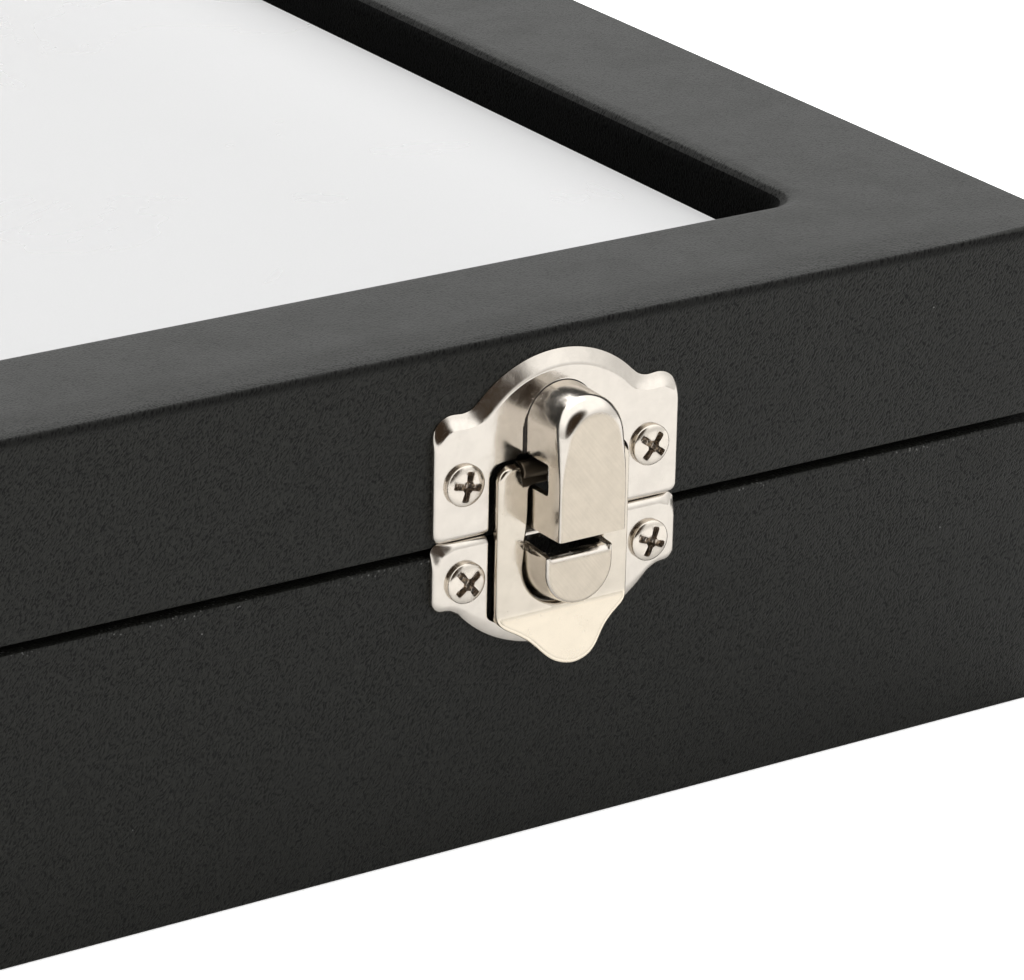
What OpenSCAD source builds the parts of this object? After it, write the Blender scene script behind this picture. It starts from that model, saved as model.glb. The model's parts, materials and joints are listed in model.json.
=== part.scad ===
// Pin display box: a shallow leatherette-wrapped case with a glazed lid,
// two sprung hasp latches on the front and two stop hinges on the back.
// Millimetres. X is to the right, Y goes from the front to the back, Z is up.
// The origin is the centre of the face the case rests on.

/* [Case] */
// Overall width of the case, left to right
case_w = 350; // [320:1:380]
// Overall depth of the case without latches and hinges
case_d = 240; // [210:1:270]
// Overall height of the closed case
case_h = 50; // [46:0.5:60]
// Height of the middle of the seam between base and lid
seam_z = 30.4; // [28:0.1:34]
// Gap between the closed lid and the base
seam_gap = 0.6; // [0.4:0.1:1]
// Radius of the upright outer edges and of the lid's top edge
edge_r = 1.5; // [1:0.1:1.8]

/* [Walls and wrap] */
// Thickness of the leatherette wrap
wrap_t = 0.6; // [0.5:0.05:0.8]
// Thickness of the wall boards of the base
board_t = 10; // [8:0.5:12]
// Thickness of the bottom panel
bottom_t = 3; // [2.5:0.5:5]
// Thickness of the sheet under the base
sheet_t = 0.5; // [0.4:0.1:1]
// Thickness of the velvet-covered card liner in the base
liner_t = 1; // [0.8:0.1:1.5]
// Height of the foam insert's top below the rim of the base
pad_below_rim = 1.4; // [1:0.1:8]
// Room left for the pins between the top pad and the glass
pin_room = 4.3; // [3:0.1:8]

/* [Lid frame] */
// Width of the lid's front and back rails, wrap included
rail_w = 18.3; // [16:0.1:20]
// Width of the lid's side rails, wrap included
side_rail_w = 19.8; // [16:0.1:22]
// Depth of the glass below the top of the lid
glass_drop = 5.8; // [5:0.1:8]
// Thickness of the glass
glass_t = 2; // [1.8:0.1:3]
// How far the glass reaches under the rails
glass_lap = 4.1; // [3:0.1:4.3]
// Corner radius of the window
window_r = 4; // [2:0.5:6]
// Radius of the rails' edge round the window, under the wrap
window_edge_r = 1.5; // [1:0.1:3]

/* [Latches] */
// Distance from each side of the case to the middle of its latch
latch_inset = 59; // [45:0.1:90]
// Half the width of the latch plates
plate_hw = 13.3; // [13:0.1:14]
// Thickness of the latch plates
plate_t = 0.9; // [0.8:0.05:1]
// Thickness of the swinging flap
flap_t = 0.9; // [0.8:0.05:1]
// Half the width of the flap
flap_hw = 7.15; // [7:0.05:7.3]
// Height of the flap's pivot above the seam
pivot_up = 6.5; // [6.4:0.05:6.6]
// Distance of the flap's pivot from the front face
pivot_out = 0.98; // [0.98:0.01:1.1]

/* [Hinges] */
// Distance from each side of the case to the middle of its hinge
hinge_inset = 65; // [40:1:100]
// Width of each hinge
hinge_w = 26; // [24:1:30]
// Distance of the hinge pin from the back face
hinge_out = 1.7; // [1.7:0.05:1.9]
// Radius of the hinge knuckles
knuckle_r = 1.6; // [1.5:0.05:1.6]
// Radius of the hinge pin
pin_r = 0.8; // [0.7:0.05:0.9]
// How far the lid opens before the hinge wings meet
lid_open = 100; // [90:1:105]

/* [Hidden] */
$fn = 64;
e = 0.01;

front_y = -case_d / 2;
back_y = case_d / 2;
base_top = seam_z - seam_gap / 2;
lid_bot = seam_z + seam_gap / 2;
glass_top = case_h - glass_drop;
glass_bot = glass_top - glass_t;
// Thickness of the lid's lower walls, where the glass rebate starts
rebate_x = side_rail_w - wrap_t - glass_lap - 0.3;
rebate_y = rail_w - wrap_t - glass_lap - 0.3;
core_w = case_w - 2 * wrap_t;
core_d = case_d - 2 * wrap_t;
base_in_w = core_w - 2 * board_t;
base_in_d = core_d - 2 * board_t;
board_bot = sheet_t + wrap_t;
panel_top = board_bot + bottom_t;
strip_t = 0.6;
latch_x = case_w / 2 - latch_inset;
hinge_x = case_w / 2 - hinge_inset;

leather = [0.13, 0.13, 0.125];
mdf = [0.62, 0.5, 0.36];
velvet = [0.86, 0.86, 0.86];
nickel = [0.85, 0.82, 0.77];
paper = [0.1, 0.1, 0.1];

// ---------- helpers ----------

// Rectangle with true round corners, centred
module round_rect(w, d, r) {
    square([w - 2 * r, d], center = true);
    square([w, d - 2 * r], center = true);
    for (sx = [-1, 1], sy = [-1, 1])
        translate([sx * (w / 2 - r), sy * (d / 2 - r)]) circle(r = r);
}

// Block from z0 to z1, centred on the Z axis
module slab(w, d, z0, z1) {
    translate([-w / 2, -d / 2, z0]) cube([w, d, z1 - z0]);
}

// Draws a flat shape given in (x, z) from depth y0 to depth y1
module upright(y0, y1) {
    translate([0, y1, 0]) rotate([90, 0, 0]) linear_extrude(height = y1 - y0) children();
}

// Draws a flat shape given in (y, z) along X, centred
module along_x(len) {
    translate([-len / 2, 0, 0]) rotate([90, 0, 90]) linear_extrude(height = len) children();
}

// Points on an arc
function arc(cx, cy, r, a0, a1, n) =
    [for (i = [0:n]) [cx + r * cos(a0 + (a1 - a0) * i / n), cy + r * sin(a0 + (a1 - a0) * i / n)]];

// The same points on the other side, in reverse order
function other_side(p) = [for (i = [len(p) - 1:-1:0]) [-p[i][0], p[i][1]]];

// ---------- fasteners ----------

// Raised cross-head screw; the seat is at y = 0, and the head stands towards -Y
module screw(head_r, head_h, shank_r, shank_l, turn) {
    difference() {
        union() {
            translate([0, 0, 0]) rotate([90, 0, 0]) cylinder(r = head_r, h = head_h * 0.45);
            translate([0, -head_h * 0.45, 0]) rotate([90, 0, 0])
                cylinder(r1 = head_r, r2 = head_r * 0.72, h = head_h * 0.55);
            translate([0, shank_l, 0]) rotate([90, 0, 0]) cylinder(r = shank_r, h = shank_l);
        }
        for (a = [0, 90])
            rotate([0, turn + a, 0])
                translate([-head_r * 0.6, -head_h - e, -head_r * 0.15])
                    cube([head_r * 1.2, head_h * 0.75, head_r * 0.3]);
    }
}

screw_r = 1;
screw_len = 8;
latch_screw_x = 10.05;
lid_screw_up = 6.3;
base_screw_up = -3.2;
hinge_screw_x = 8.5;
hinge_screw_up = 6.8;

// The two screws of one latch plate
module latch_screws(up, turns) {
    for (i = [0, 1])
        translate([(i * 2 - 1) * latch_screw_x, front_y - plate_t, seam_z + up])
            screw(2, 0.75, screw_r, screw_len + plate_t, turns[i]);
}

// Pilot holes of every latch screw that meets the front wall
module latch_pilots(up) {
    for (s = [-1, 1], t = [-1, 1])
        translate([s * latch_x + t * latch_screw_x, front_y + screw_len + 0.1, seam_z + up])
            rotate([90, 0, 0]) cylinder(r = screw_r + 0.02, h = screw_len + 2);
}

// The two screws of one hinge leaf
module hinge_screws(up, turns) {
    for (i = [0, 1])
        translate([(i * 2 - 1) * hinge_screw_x, back_y + plate_t, seam_z + up])
            rotate([0, 0, 180]) screw(1.9, 0.6, 0.9, screw_len + plate_t, turns[i]);
}

module hinge_pilots(up) {
    for (s = [-1, 1], t = [-1, 1])
        translate([s * hinge_x + t * hinge_screw_x, back_y + 2, seam_z + up])
            rotate([90, 0, 0]) cylinder(r = 0.92, h = screw_len + 2.1);
}

// ---------- base ----------

// Front and back wall boards run the full width
module long_board(s) {
    translate([-core_w / 2, s > 0 ? core_d / 2 - board_t : -core_d / 2, board_bot])
        cube([core_w, board_t, base_top - wrap_t - board_bot]);
}

module base_front_board() {
    color(mdf) difference() {
        long_board(-1);
        latch_pilots(base_screw_up);
    }
}

module base_back_board() {
    color(mdf) difference() {
        long_board(1);
        hinge_pilots(-hinge_screw_up);
    }
}

// Side wall boards stand between the front and the back
module short_board(s) {
    translate([s > 0 ? core_w / 2 - board_t : -core_w / 2, -base_in_d / 2, board_bot])
        cube([board_t, base_in_d, base_top - wrap_t - board_bot]);
}

module base_left_board() { color(mdf) short_board(-1); }
module base_right_board() { color(mdf) short_board(1); }

module base_bottom_panel() {
    color(mdf) slab(base_in_w, base_in_d, board_bot, panel_top);
}

// One skin: outside faces, the top edge of the walls, and a margin turned under
module base_leather_wrap() {
    color(leather) difference() {
        translate([0, 0, sheet_t]) linear_extrude(height = base_top - sheet_t)
            round_rect(case_w, case_d, edge_r);
        slab(core_w, core_d, board_bot, base_top - wrap_t);
        slab(base_in_w, base_in_d, base_top - wrap_t - 1, base_top + 1);
        slab(case_w - 2 * 15, case_d - 2 * 15, -1, board_bot + 1);
        latch_pilots(base_screw_up);
        hinge_pilots(-hinge_screw_up);
    }
}

// The sheet that covers the turned-under margin; the case rests on it
module base_underside_sheet() {
    color(paper) linear_extrude(height = sheet_t) round_rect(case_w - 5, case_d - 5, 3);
}

liner_top = base_top - 0.3;

module long_liner(s) {
    translate([-base_in_w / 2, s > 0 ? base_in_d / 2 - liner_t : -base_in_d / 2, panel_top])
        cube([base_in_w, liner_t, liner_top - panel_top]);
}

module short_liner(s) {
    translate([s > 0 ? base_in_w / 2 - liner_t : -base_in_w / 2, -base_in_d / 2 + liner_t, panel_top])
        cube([liner_t, base_in_d - 2 * liner_t, liner_top - panel_top]);
}

module base_liner_front() { color(velvet) long_liner(-1); }
module base_liner_back() { color(velvet) long_liner(1); }
module base_liner_left() { color(velvet) short_liner(-1); }
module base_liner_right() { color(velvet) short_liner(1); }

pad_top = base_top - pad_below_rim;
pad_w = base_in_w - 2 * liner_t - 1;
pad_d = base_in_d - 2 * liner_t - 1;
cover_t = 0.8;

module foam_pad() {
    color([0.9, 0.9, 0.88])
        slab(pad_w - 2 * cover_t, pad_d - 2 * cover_t, panel_top, pad_top - cover_t);
}

// Velvet over the top and the sides of the foam
module velvet_pad_cover() {
    color(velvet) difference() {
        translate([0, 0, panel_top]) linear_extrude(height = pad_top - panel_top)
            round_rect(pad_w, pad_d, 2);
        slab(pad_w - 2 * cover_t, pad_d - 2 * cover_t, panel_top - 1, pad_top - cover_t);
    }
}

// Velvet-covered pad that lies on the insert and takes the pins, close under the glass
pin_pad_top = glass_bot - pin_room;

module pin_pad() {
    color(velvet) translate([0, 0, pad_top]) linear_extrude(height = pin_pad_top - pad_top)
        round_rect(case_w - 2 * side_rail_w + 0.4, case_d - 2 * rail_w + 0.1, 3);
}

// ---------- lid ----------

// One rail of the frame with its outside face on y = 0; the lower part is rebated for the glass,
// and the joint at each end runs from the outer corner to the corner of the window
module mitred_rail(len, own, other, rebate) {
    w = own - 2 * wrap_t;
    v = other - 2 * wrap_t;
    intersection() {
        along_x(len)
            polygon(concat([[0, case_h - wrap_t], [0, lid_bot + wrap_t], [rebate - wrap_t, lid_bot + wrap_t],
                [rebate - wrap_t, glass_top + wrap_t], [w, glass_top + wrap_t]],
                arc(w - window_edge_r, case_h - wrap_t - window_edge_r, window_edge_r, 0, 90, 6)));
        linear_extrude(height = case_h + 10)
            polygon([[-len / 2, 0], [len / 2, 0], [len / 2 - v, w], [-len / 2 + v, w]]);
    }
}

module lid_front_rail() {
    color(mdf) difference() {
        translate([0, -core_d / 2, 0]) mitred_rail(core_w, rail_w, side_rail_w, rebate_y);
        latch_pilots(lid_screw_up);
    }
}

module lid_back_rail() {
    color(mdf) difference() {
        rotate([0, 0, 180]) translate([0, -core_d / 2, 0])
            mitred_rail(core_w, rail_w, side_rail_w, rebate_y);
        hinge_pilots(hinge_screw_up);
    }
}

module lid_left_rail() {
    color(mdf) rotate([0, 0, -90]) translate([0, -core_w / 2, 0])
        mitred_rail(core_d, side_rail_w, rail_w, rebate_x);
}

module lid_right_rail() {
    color(mdf) rotate([0, 0, 90]) translate([0, -core_w / 2, 0])
        mitred_rail(core_d, side_rail_w, rail_w, rebate_x);
}

// Outer form of the lid: upright edges and top edges are rounded
module lid_form() {
    intersection() {
        translate([0, 0, lid_bot]) linear_extrude(height = case_h - lid_bot)
            round_rect(case_w, case_d, edge_r);
        along_x(case_w + 2) translate([0, case_h / 2]) round_rect(case_d, case_h, edge_r);
        rotate([0, 0, 90]) along_x(case_d + 2) translate([0, case_h / 2]) round_rect(case_w, case_h, edge_r);
    }
}

module lid_leather_wrap() {
    color(leather) difference() {
        lid_form();
        // window
        translate([0, 0, lid_bot - 1]) linear_extrude(height = case_h)
            round_rect(case_w - 2 * side_rail_w, case_d - 2 * rail_w, window_r);
        // room for the lower wall of the rails
        difference() {
            slab(core_w, core_d, lid_bot + wrap_t, glass_top + wrap_t);
            slab(case_w - 2 * rebate_x, case_d - 2 * rebate_y, lid_bot, case_h);
        }
        // room for the upper part of the rails
        difference() {
            slab(core_w, core_d, glass_top + wrap_t - e, case_h - wrap_t);
            slab(case_w - 2 * side_rail_w + 2 * wrap_t, case_d - 2 * rail_w + 2 * wrap_t, lid_bot, case_h);
        }
        // open below the glass
        slab(case_w - 2 * rebate_x, case_d - 2 * rebate_y, lid_bot - 1, glass_top);
        latch_pilots(lid_screw_up);
        hinge_pilots(hinge_screw_up);
    }
}

module glass_pane() {
    color([0.8, 0.85, 0.85, 0.4])
        slab(case_w - 2 * rebate_x - 0.6, case_d - 2 * rebate_y - 0.6, glass_bot, glass_top);
}

// Strips glued below the glass hold it up against the rails
strip_w = glass_lap + 0.3 - strip_t;

module long_strip(s) {
    y0 = case_d / 2 - rebate_y - strip_w;
    translate([-(case_w / 2 - rebate_x), s > 0 ? y0 : -y0 - strip_w, lid_bot + 0.2])
        cube([case_w - 2 * rebate_x, strip_w, glass_bot - lid_bot - 0.2]);
}

module short_strip(s) {
    x0 = case_w / 2 - rebate_x - strip_w;
    l = case_d - 2 * rebate_y - 2 * strip_w;
    translate([s > 0 ? x0 : -x0 - strip_w, -l / 2, lid_bot + 0.2])
        cube([strip_w, l, glass_bot - lid_bot - 0.2]);
}

module glass_retainer_front() { color(mdf) long_strip(-1); }
module glass_retainer_back() { color(mdf) long_strip(1); }
module glass_retainer_left() { color(mdf) short_strip(-1); }
module glass_retainer_right() { color(mdf) short_strip(1); }

// Velvet on the inner faces of the four strips
module lid_velvet_lining() {
    iw = case_w - 2 * rebate_x - 2 * strip_w;
    id = case_d - 2 * rebate_y - 2 * strip_w;
    color(velvet) translate([0, 0, lid_bot + 0.2]) {
        for (s = [-1, 1]) {
            translate([-iw / 2, s > 0 ? id / 2 - strip_t : -id / 2, 0])
                cube([iw, strip_t, glass_bot - lid_bot - 0.2]);
            translate([s > 0 ? iw / 2 - strip_t : -iw / 2, -id / 2 + strip_t, 0])
                cube([strip_t, id - 2 * strip_t, glass_bot - lid_bot - 0.2]);
        }
    }
}

// ---------- latches: heights are counted from the seam ----------

opening_hw = 7.6;
boss_hw = 3.7;
boss_out = 6.6;
lug_out = 4.7;
wall_t = 0.7;

// Right half of the lid plate's outline, from the bottom to the top
lid_plate_side = concat(
    [[0, 1]],
    arc(plate_hw - 0.9, 1.9, 0.9, -90, 0, 6),
    arc(plate_hw - 2.2, 10.7, 2.2, 0, 95, 10),
    [[10.1, 12.82], [9.5, 12.9], [9, 13.12], [8.6, 13.42]],
    arc(0, 5.7, 11.5, 44.5, 90, 16));

// Right half of the base plate's outline, from the top to the bottom
base_plate_side = concat(
    [[0, 0.7]],
    arc(plate_hw - 0.9, -0.2, 0.9, 90, 0, 6),
    arc(plate_hw - 1.2, -4.75, 1.2, 0, -90, 6),
    [[11.5, -6.02], [10.95, -6.25]],
    arc(0, 2.8, 14, -42, -90, 16));

// Right half of the flap's outline, from the top to the tip
flap_side = concat(
    arc(flap_hw - 1.5, 6.1, 1.5, 90, 0, 8),
    [[flap_hw, -6.5], [7.08, -7.3], [6.85, -7.85], [6.45, -8.25], [5.8, -8.62], [5.15, -9],
    [4.55, -9.4], [4, -9.82], [3.45, -10.4], [2.9, -11], [2.3, -11.48], [1.65, -11.85],
    [0.9, -12.1], [0, -12.2]]);

module outline(side) {
    polygon(concat(side, other_side(side)));
}

// Tall arched shape of the boss
module boss_shape(hw, z0) {
    translate([-hw, z0]) square([2 * hw, 10.7 - z0]);
    translate([0, 10.7]) circle(r = hw);
}

// Half-round shape of the lug
module lug_shape(hw, z1) {
    translate([-hw, -2.5]) square([2 * hw, z1 + 2.5]);
    translate([0, -2.5]) circle(r = hw);
}

// Lid plate with its pressed, hollow boss
module lid_plate() {
    color(nickel) translate([0, front_y, seam_z]) difference() {
        union() {
            upright(-plate_t, 0) difference() {
                outline(lid_plate_side);
                translate([-opening_hw, -2]) square([2 * opening_hw, 2 + 7.7]);
            }
            upright(-boss_out, 0) boss_shape(boss_hw, 1.2);
        }
        // hollow behind the boss, open at the bottom and the back
        upright(-boss_out + wall_t, 1) boss_shape(boss_hw - wall_t, -1);
        // clear of the leatherette below the plate's opening
        upright(-0.2, 1) translate([-boss_hw - 1, 0]) square([2 * boss_hw + 2, 7.7]);
        // notches that the flap's crossbar turns in
        translate([-boss_hw - 1, -4.6, pivot_up - 1.45])
            cube([2 * boss_hw + 2, 5.6, 3.05]);
        for (s = [-1, 1]) translate([s * latch_screw_x, 1, lid_screw_up])
            rotate([90, 0, 0]) cylinder(r = screw_r + 0.1, h = 3);
    }
}

// Base plate with its hollow lug, which the flap snaps over
module base_plate() {
    color(nickel) translate([0, front_y, seam_z]) difference() {
        union() {
            upright(-plate_t, 0) difference() {
                outline(base_plate_side);
                difference() {
                    translate([0, -3.4]) square([2 * opening_hw, 8.8], center = true);
                    translate([-5.2, -9]) square([10.4, 10]);
                }
            }
            upright(-lug_out, 0) lug_shape(boss_hw, -1);
        }
        upright(-lug_out + wall_t, 1) lug_shape(boss_hw - wall_t, -0.45);
        // the strip beside the lid stands just clear of it
        upright(-0.1, 1) translate([-20, seam_gap / -2]) square([40, 3]);
        for (s = [-1, 1]) translate([s * latch_screw_x, 1, base_screw_up])
            rotate([90, 0, 0]) cylinder(r = screw_r + 0.1, h = 3);
    }
}

// Swinging flap: its top is bent back as a crossbar, rolled round where it turns in the boss,
// its window takes boss and lug, and its tip flares out
module flap() {
    y0 = -pivot_out - 0.95;
    y1 = y0 + flap_t;
    zb = pivot_up - 1.2;
    color(nickel) translate([0, front_y - pivot_out, seam_z + pivot_up])
        rotate([0, 90, 0]) cylinder(r = 0.88, h = 8.8, center = true);
    color(nickel) translate([0, front_y, seam_z]) difference() {
        intersection() {
            upright(-8, 0) outline(flap_side);
            along_x(4 * flap_hw)
                polygon([[y0, zb], [y0, -7.2], [y0 - 2.25, -12.2], [y0 - 2.25 + flap_t, -12.2],
                    [y1, -7.2], [y1, zb - 0.2], [y1 + 0.12, zb + 0.35], [y1 + 0.83, zb + 1.7],
                    [y1 + 0.28, zb + 2.1], [y0 + 0.25, zb + 0.55]]);
        }
        upright(-8, 1) {
            translate([0, -2.55]) circle(r = 4.45);
            polygon([[-4.45, -2.55], [4.45, -2.55], [4, 1.5], [3.95, zb], [-3.95, zb], [-4, 1.5]]);
        }
    }
}

// Bent strip in the boss that presses on the crossbar
module spring() {
    y1 = -pivot_out - 1.62;
    color([0.75, 0.75, 0.75]) translate([0, front_y, seam_z]) along_x(5)
        polygon([[-5.85, 12.6], [-5.55, 12.6], [-5.15, 10], [y1, pivot_up + 0.7], [y1, pivot_up - 0.6],
            [-4.7, 2.2], [-5, 2.2], [y1 - 0.3, pivot_up - 0.65], [y1 - 0.3, pivot_up + 0.75],
            [-5.45, 10]]);
}

module latch_left_lid_plate() { translate([-latch_x, 0, 0]) lid_plate(); }
module latch_right_lid_plate() { translate([latch_x, 0, 0]) lid_plate(); }
module latch_left_base_plate() { translate([-latch_x, 0, 0]) base_plate(); }
module latch_right_base_plate() { translate([latch_x, 0, 0]) base_plate(); }
module latch_left_flap() { translate([-latch_x, 0, 0]) flap(); }
module latch_right_flap() { translate([latch_x, 0, 0]) flap(); }
module latch_left_spring() { translate([-latch_x, 0, 0]) spring(); }
module latch_right_spring() { translate([latch_x, 0, 0]) spring(); }
module latch_left_lid_screws() { color(nickel) translate([-latch_x, 0, 0]) latch_screws(lid_screw_up, [70, 12]); }
module latch_right_lid_screws() { color(nickel) translate([latch_x, 0, 0]) latch_screws(lid_screw_up, [12, 38]); }
module latch_left_base_screws() { color(nickel) translate([-latch_x, 0, 0]) latch_screws(base_screw_up, [25, 50]); }
module latch_right_base_screws() { color(nickel) translate([latch_x, 0, 0]) latch_screws(base_screw_up, [52, 22]); }

// ---------- hinges ----------

// Half-width of the middle knuckle, which belongs to the lid
mid_hw = 5;
wing_hw = 9;
wing_r = 5.2;
wing_a = (lid_open + 0.5) / 2;

// Places a shape at the hinge pin, with X along the pin
module at_pin() {
    translate([0, back_y + hinge_out, seam_z]) children();
}

module knuckle(x0, x1, bore) {
    difference() {
        translate([x0, 0, 0]) rotate([0, 90, 0]) cylinder(r = knuckle_r, h = x1 - x0);
        translate([x0 - 1, 0, 0]) rotate([0, 90, 0]) cylinder(r = bore, h = x1 - x0 + 2);
    }
}

// Lid leaf: sheet, middle knuckle and a stop wing that reaches past the knuckle
module lid_leaf() {
    color(nickel) difference() {
        union() {
            translate([-hinge_w / 2, back_y, seam_z + 1.8]) cube([hinge_w, plate_t, 9.8]);
            translate([-mid_hw, back_y, seam_z]) cube([2 * mid_hw, plate_t, 2.5]);
            at_pin() {
                knuckle(-mid_hw, mid_hw, pin_r + 0.05);
                rotate([wing_a, 0, 0]) {
                    translate([-mid_hw, 1.3, 0]) cube([2 * mid_hw, wing_r - 1.3, 0.9]);
                    translate([-wing_hw, 2.1, 0]) cube([2 * wing_hw, wing_r - 2.1, 0.9]);
                }
            }
        }
        at_pin() translate([-20, 0, 0]) rotate([0, 90, 0]) cylinder(r = pin_r + 0.05, h = 40);
        for (s = [-1, 1]) translate([s * hinge_screw_x, back_y + 2, seam_z + hinge_screw_up])
            rotate([90, 0, 0]) cylinder(r = 1, h = 3);
    }
}

// Base leaf: sheet, two outer knuckles and two stop wings
module base_leaf() {
    color(nickel) difference() {
        union() {
            translate([-hinge_w / 2, back_y, seam_z - 11.6]) cube([hinge_w, plate_t, 9.8]);
            for (s = [-1, 1]) {
                x0 = s > 0 ? mid_hw + 0.15 : -hinge_w / 2;
                l = hinge_w / 2 - mid_hw - 0.15;
                translate([x0, back_y, seam_z - 2.5]) cube([l, plate_t, 2.5]);
                at_pin() {
                    knuckle(x0, x0 + l, pin_r + 0.01);
                    rotate([-wing_a, 0, 0])
                        translate([s > 0 ? mid_hw + 0.15 : -wing_hw, 1.3, -0.9])
                            cube([wing_hw - mid_hw - 0.15, wing_r - 1.3, 0.9]);
                }
            }
        }
        at_pin() translate([-20, 0, 0]) rotate([0, 90, 0]) cylinder(r = pin_r + 0.01, h = 40);
        for (s = [-1, 1]) translate([s * hinge_screw_x, back_y + 2, seam_z - hinge_screw_up])
            rotate([90, 0, 0]) cylinder(r = 1, h = 3);
    }
}

module hinge_pin() {
    color([0.7, 0.7, 0.7]) at_pin() rotate([0, 90, 0])
        cylinder(r = pin_r, h = hinge_w + 0.4, center = true);
}

module hinge_left_lid_leaf() { translate([-hinge_x, 0, 0]) lid_leaf(); }
module hinge_right_lid_leaf() { translate([hinge_x, 0, 0]) lid_leaf(); }
module hinge_left_base_leaf() { translate([-hinge_x, 0, 0]) base_leaf(); }
module hinge_right_base_leaf() { translate([hinge_x, 0, 0]) base_leaf(); }
module hinge_left_pin() { translate([-hinge_x, 0, 0]) hinge_pin(); }
module hinge_right_pin() { translate([hinge_x, 0, 0]) hinge_pin(); }
module hinge_left_lid_screws() { color(nickel) translate([-hinge_x, 0, 0]) hinge_screws(hinge_screw_up, [15, 60]); }
module hinge_right_lid_screws() { color(nickel) translate([hinge_x, 0, 0]) hinge_screws(hinge_screw_up, [40, 5]); }
module hinge_left_base_screws() { color(nickel) translate([-hinge_x, 0, 0]) hinge_screws(-hinge_screw_up, [75, 30]); }
module hinge_right_base_screws() { color(nickel) translate([hinge_x, 0, 0]) hinge_screws(-hinge_screw_up, [20, 55]); }

base_front_board();
base_back_board();
base_left_board();
base_right_board();
base_bottom_panel();
base_leather_wrap();
base_underside_sheet();
base_liner_front();
base_liner_back();
base_liner_left();
base_liner_right();
foam_pad();
velvet_pad_cover();
pin_pad();
latch_left_base_plate();
latch_right_base_plate();
latch_left_base_screws();
latch_right_base_screws();
hinge_left_base_leaf();
hinge_right_base_leaf();
hinge_left_pin();
hinge_right_pin();
hinge_left_base_screws();
hinge_right_base_screws();
lid_front_rail();
lid_back_rail();
lid_left_rail();
lid_right_rail();
lid_leather_wrap();
glass_pane();
glass_retainer_front();
glass_retainer_back();
glass_retainer_left();
glass_retainer_right();
lid_velvet_lining();
latch_left_lid_plate();
latch_right_lid_plate();
latch_left_spring();
latch_right_spring();
latch_left_lid_screws();
latch_right_lid_screws();
hinge_left_lid_leaf();
hinge_right_lid_leaf();
hinge_left_lid_screws();
hinge_right_lid_screws();
latch_left_flap();
latch_right_flap();
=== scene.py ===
"""Pin display box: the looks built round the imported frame. Lengths in the making functions are millimetres."""

import json
import math

import bmesh
import bpy
import numpy as np
from mathutils import Matrix, Vector
from mathutils.geometry import delaunay_2d_cdt

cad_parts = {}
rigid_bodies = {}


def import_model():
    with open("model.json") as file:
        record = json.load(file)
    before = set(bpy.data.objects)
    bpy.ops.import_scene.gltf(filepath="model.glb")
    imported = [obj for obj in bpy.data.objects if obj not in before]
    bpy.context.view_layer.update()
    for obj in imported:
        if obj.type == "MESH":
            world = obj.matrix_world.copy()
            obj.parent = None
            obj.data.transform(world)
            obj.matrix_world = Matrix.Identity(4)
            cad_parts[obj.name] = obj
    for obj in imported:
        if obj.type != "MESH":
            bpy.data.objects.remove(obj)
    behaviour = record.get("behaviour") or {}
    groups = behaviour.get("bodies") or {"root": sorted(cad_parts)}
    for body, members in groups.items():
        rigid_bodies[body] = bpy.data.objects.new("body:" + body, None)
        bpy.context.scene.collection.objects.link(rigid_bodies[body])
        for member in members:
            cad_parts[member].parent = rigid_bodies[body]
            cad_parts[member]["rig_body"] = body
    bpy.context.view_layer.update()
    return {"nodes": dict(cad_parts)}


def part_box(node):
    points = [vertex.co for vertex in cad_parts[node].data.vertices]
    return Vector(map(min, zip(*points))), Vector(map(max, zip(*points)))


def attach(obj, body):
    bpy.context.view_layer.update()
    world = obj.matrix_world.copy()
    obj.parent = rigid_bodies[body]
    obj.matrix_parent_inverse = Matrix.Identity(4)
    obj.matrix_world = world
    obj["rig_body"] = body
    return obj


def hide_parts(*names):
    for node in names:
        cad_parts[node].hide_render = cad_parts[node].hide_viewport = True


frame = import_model()
scene = bpy.context.scene
MM = 0.001

# ---------------------------------------------------------------- camera

cam_data = bpy.data.cameras.new("camera")
cam = bpy.data.objects.new("camera", cam_data)
scene.collection.objects.link(cam)
scene.camera = cam
yaw, pitch, roll = 0.585798388, 0.380339333, 0.0204120364
forward = Vector((math.sin(yaw) * math.cos(pitch), math.cos(yaw) * math.cos(pitch), -math.sin(pitch)))
right = Vector((math.cos(yaw), -math.sin(yaw), 0))
up = right.cross(forward)
cam_x = right * math.cos(roll) + up * math.sin(roll)
cam_y = -right * math.sin(roll) + up * math.cos(roll)
turn = Matrix((cam_x, cam_y, -forward)).transposed()
cam.matrix_world = Matrix.Translation((-0.123576, -0.474297, 0.204722)) @ turn.to_4x4()
cam_data.sensor_width = 36
cam_data.lens = 5057.07 * 36 / 1024
cam_data.clip_start = 0.01
cam_data.clip_end = 60

# ---------------------------------------------------------------- materials


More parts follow.
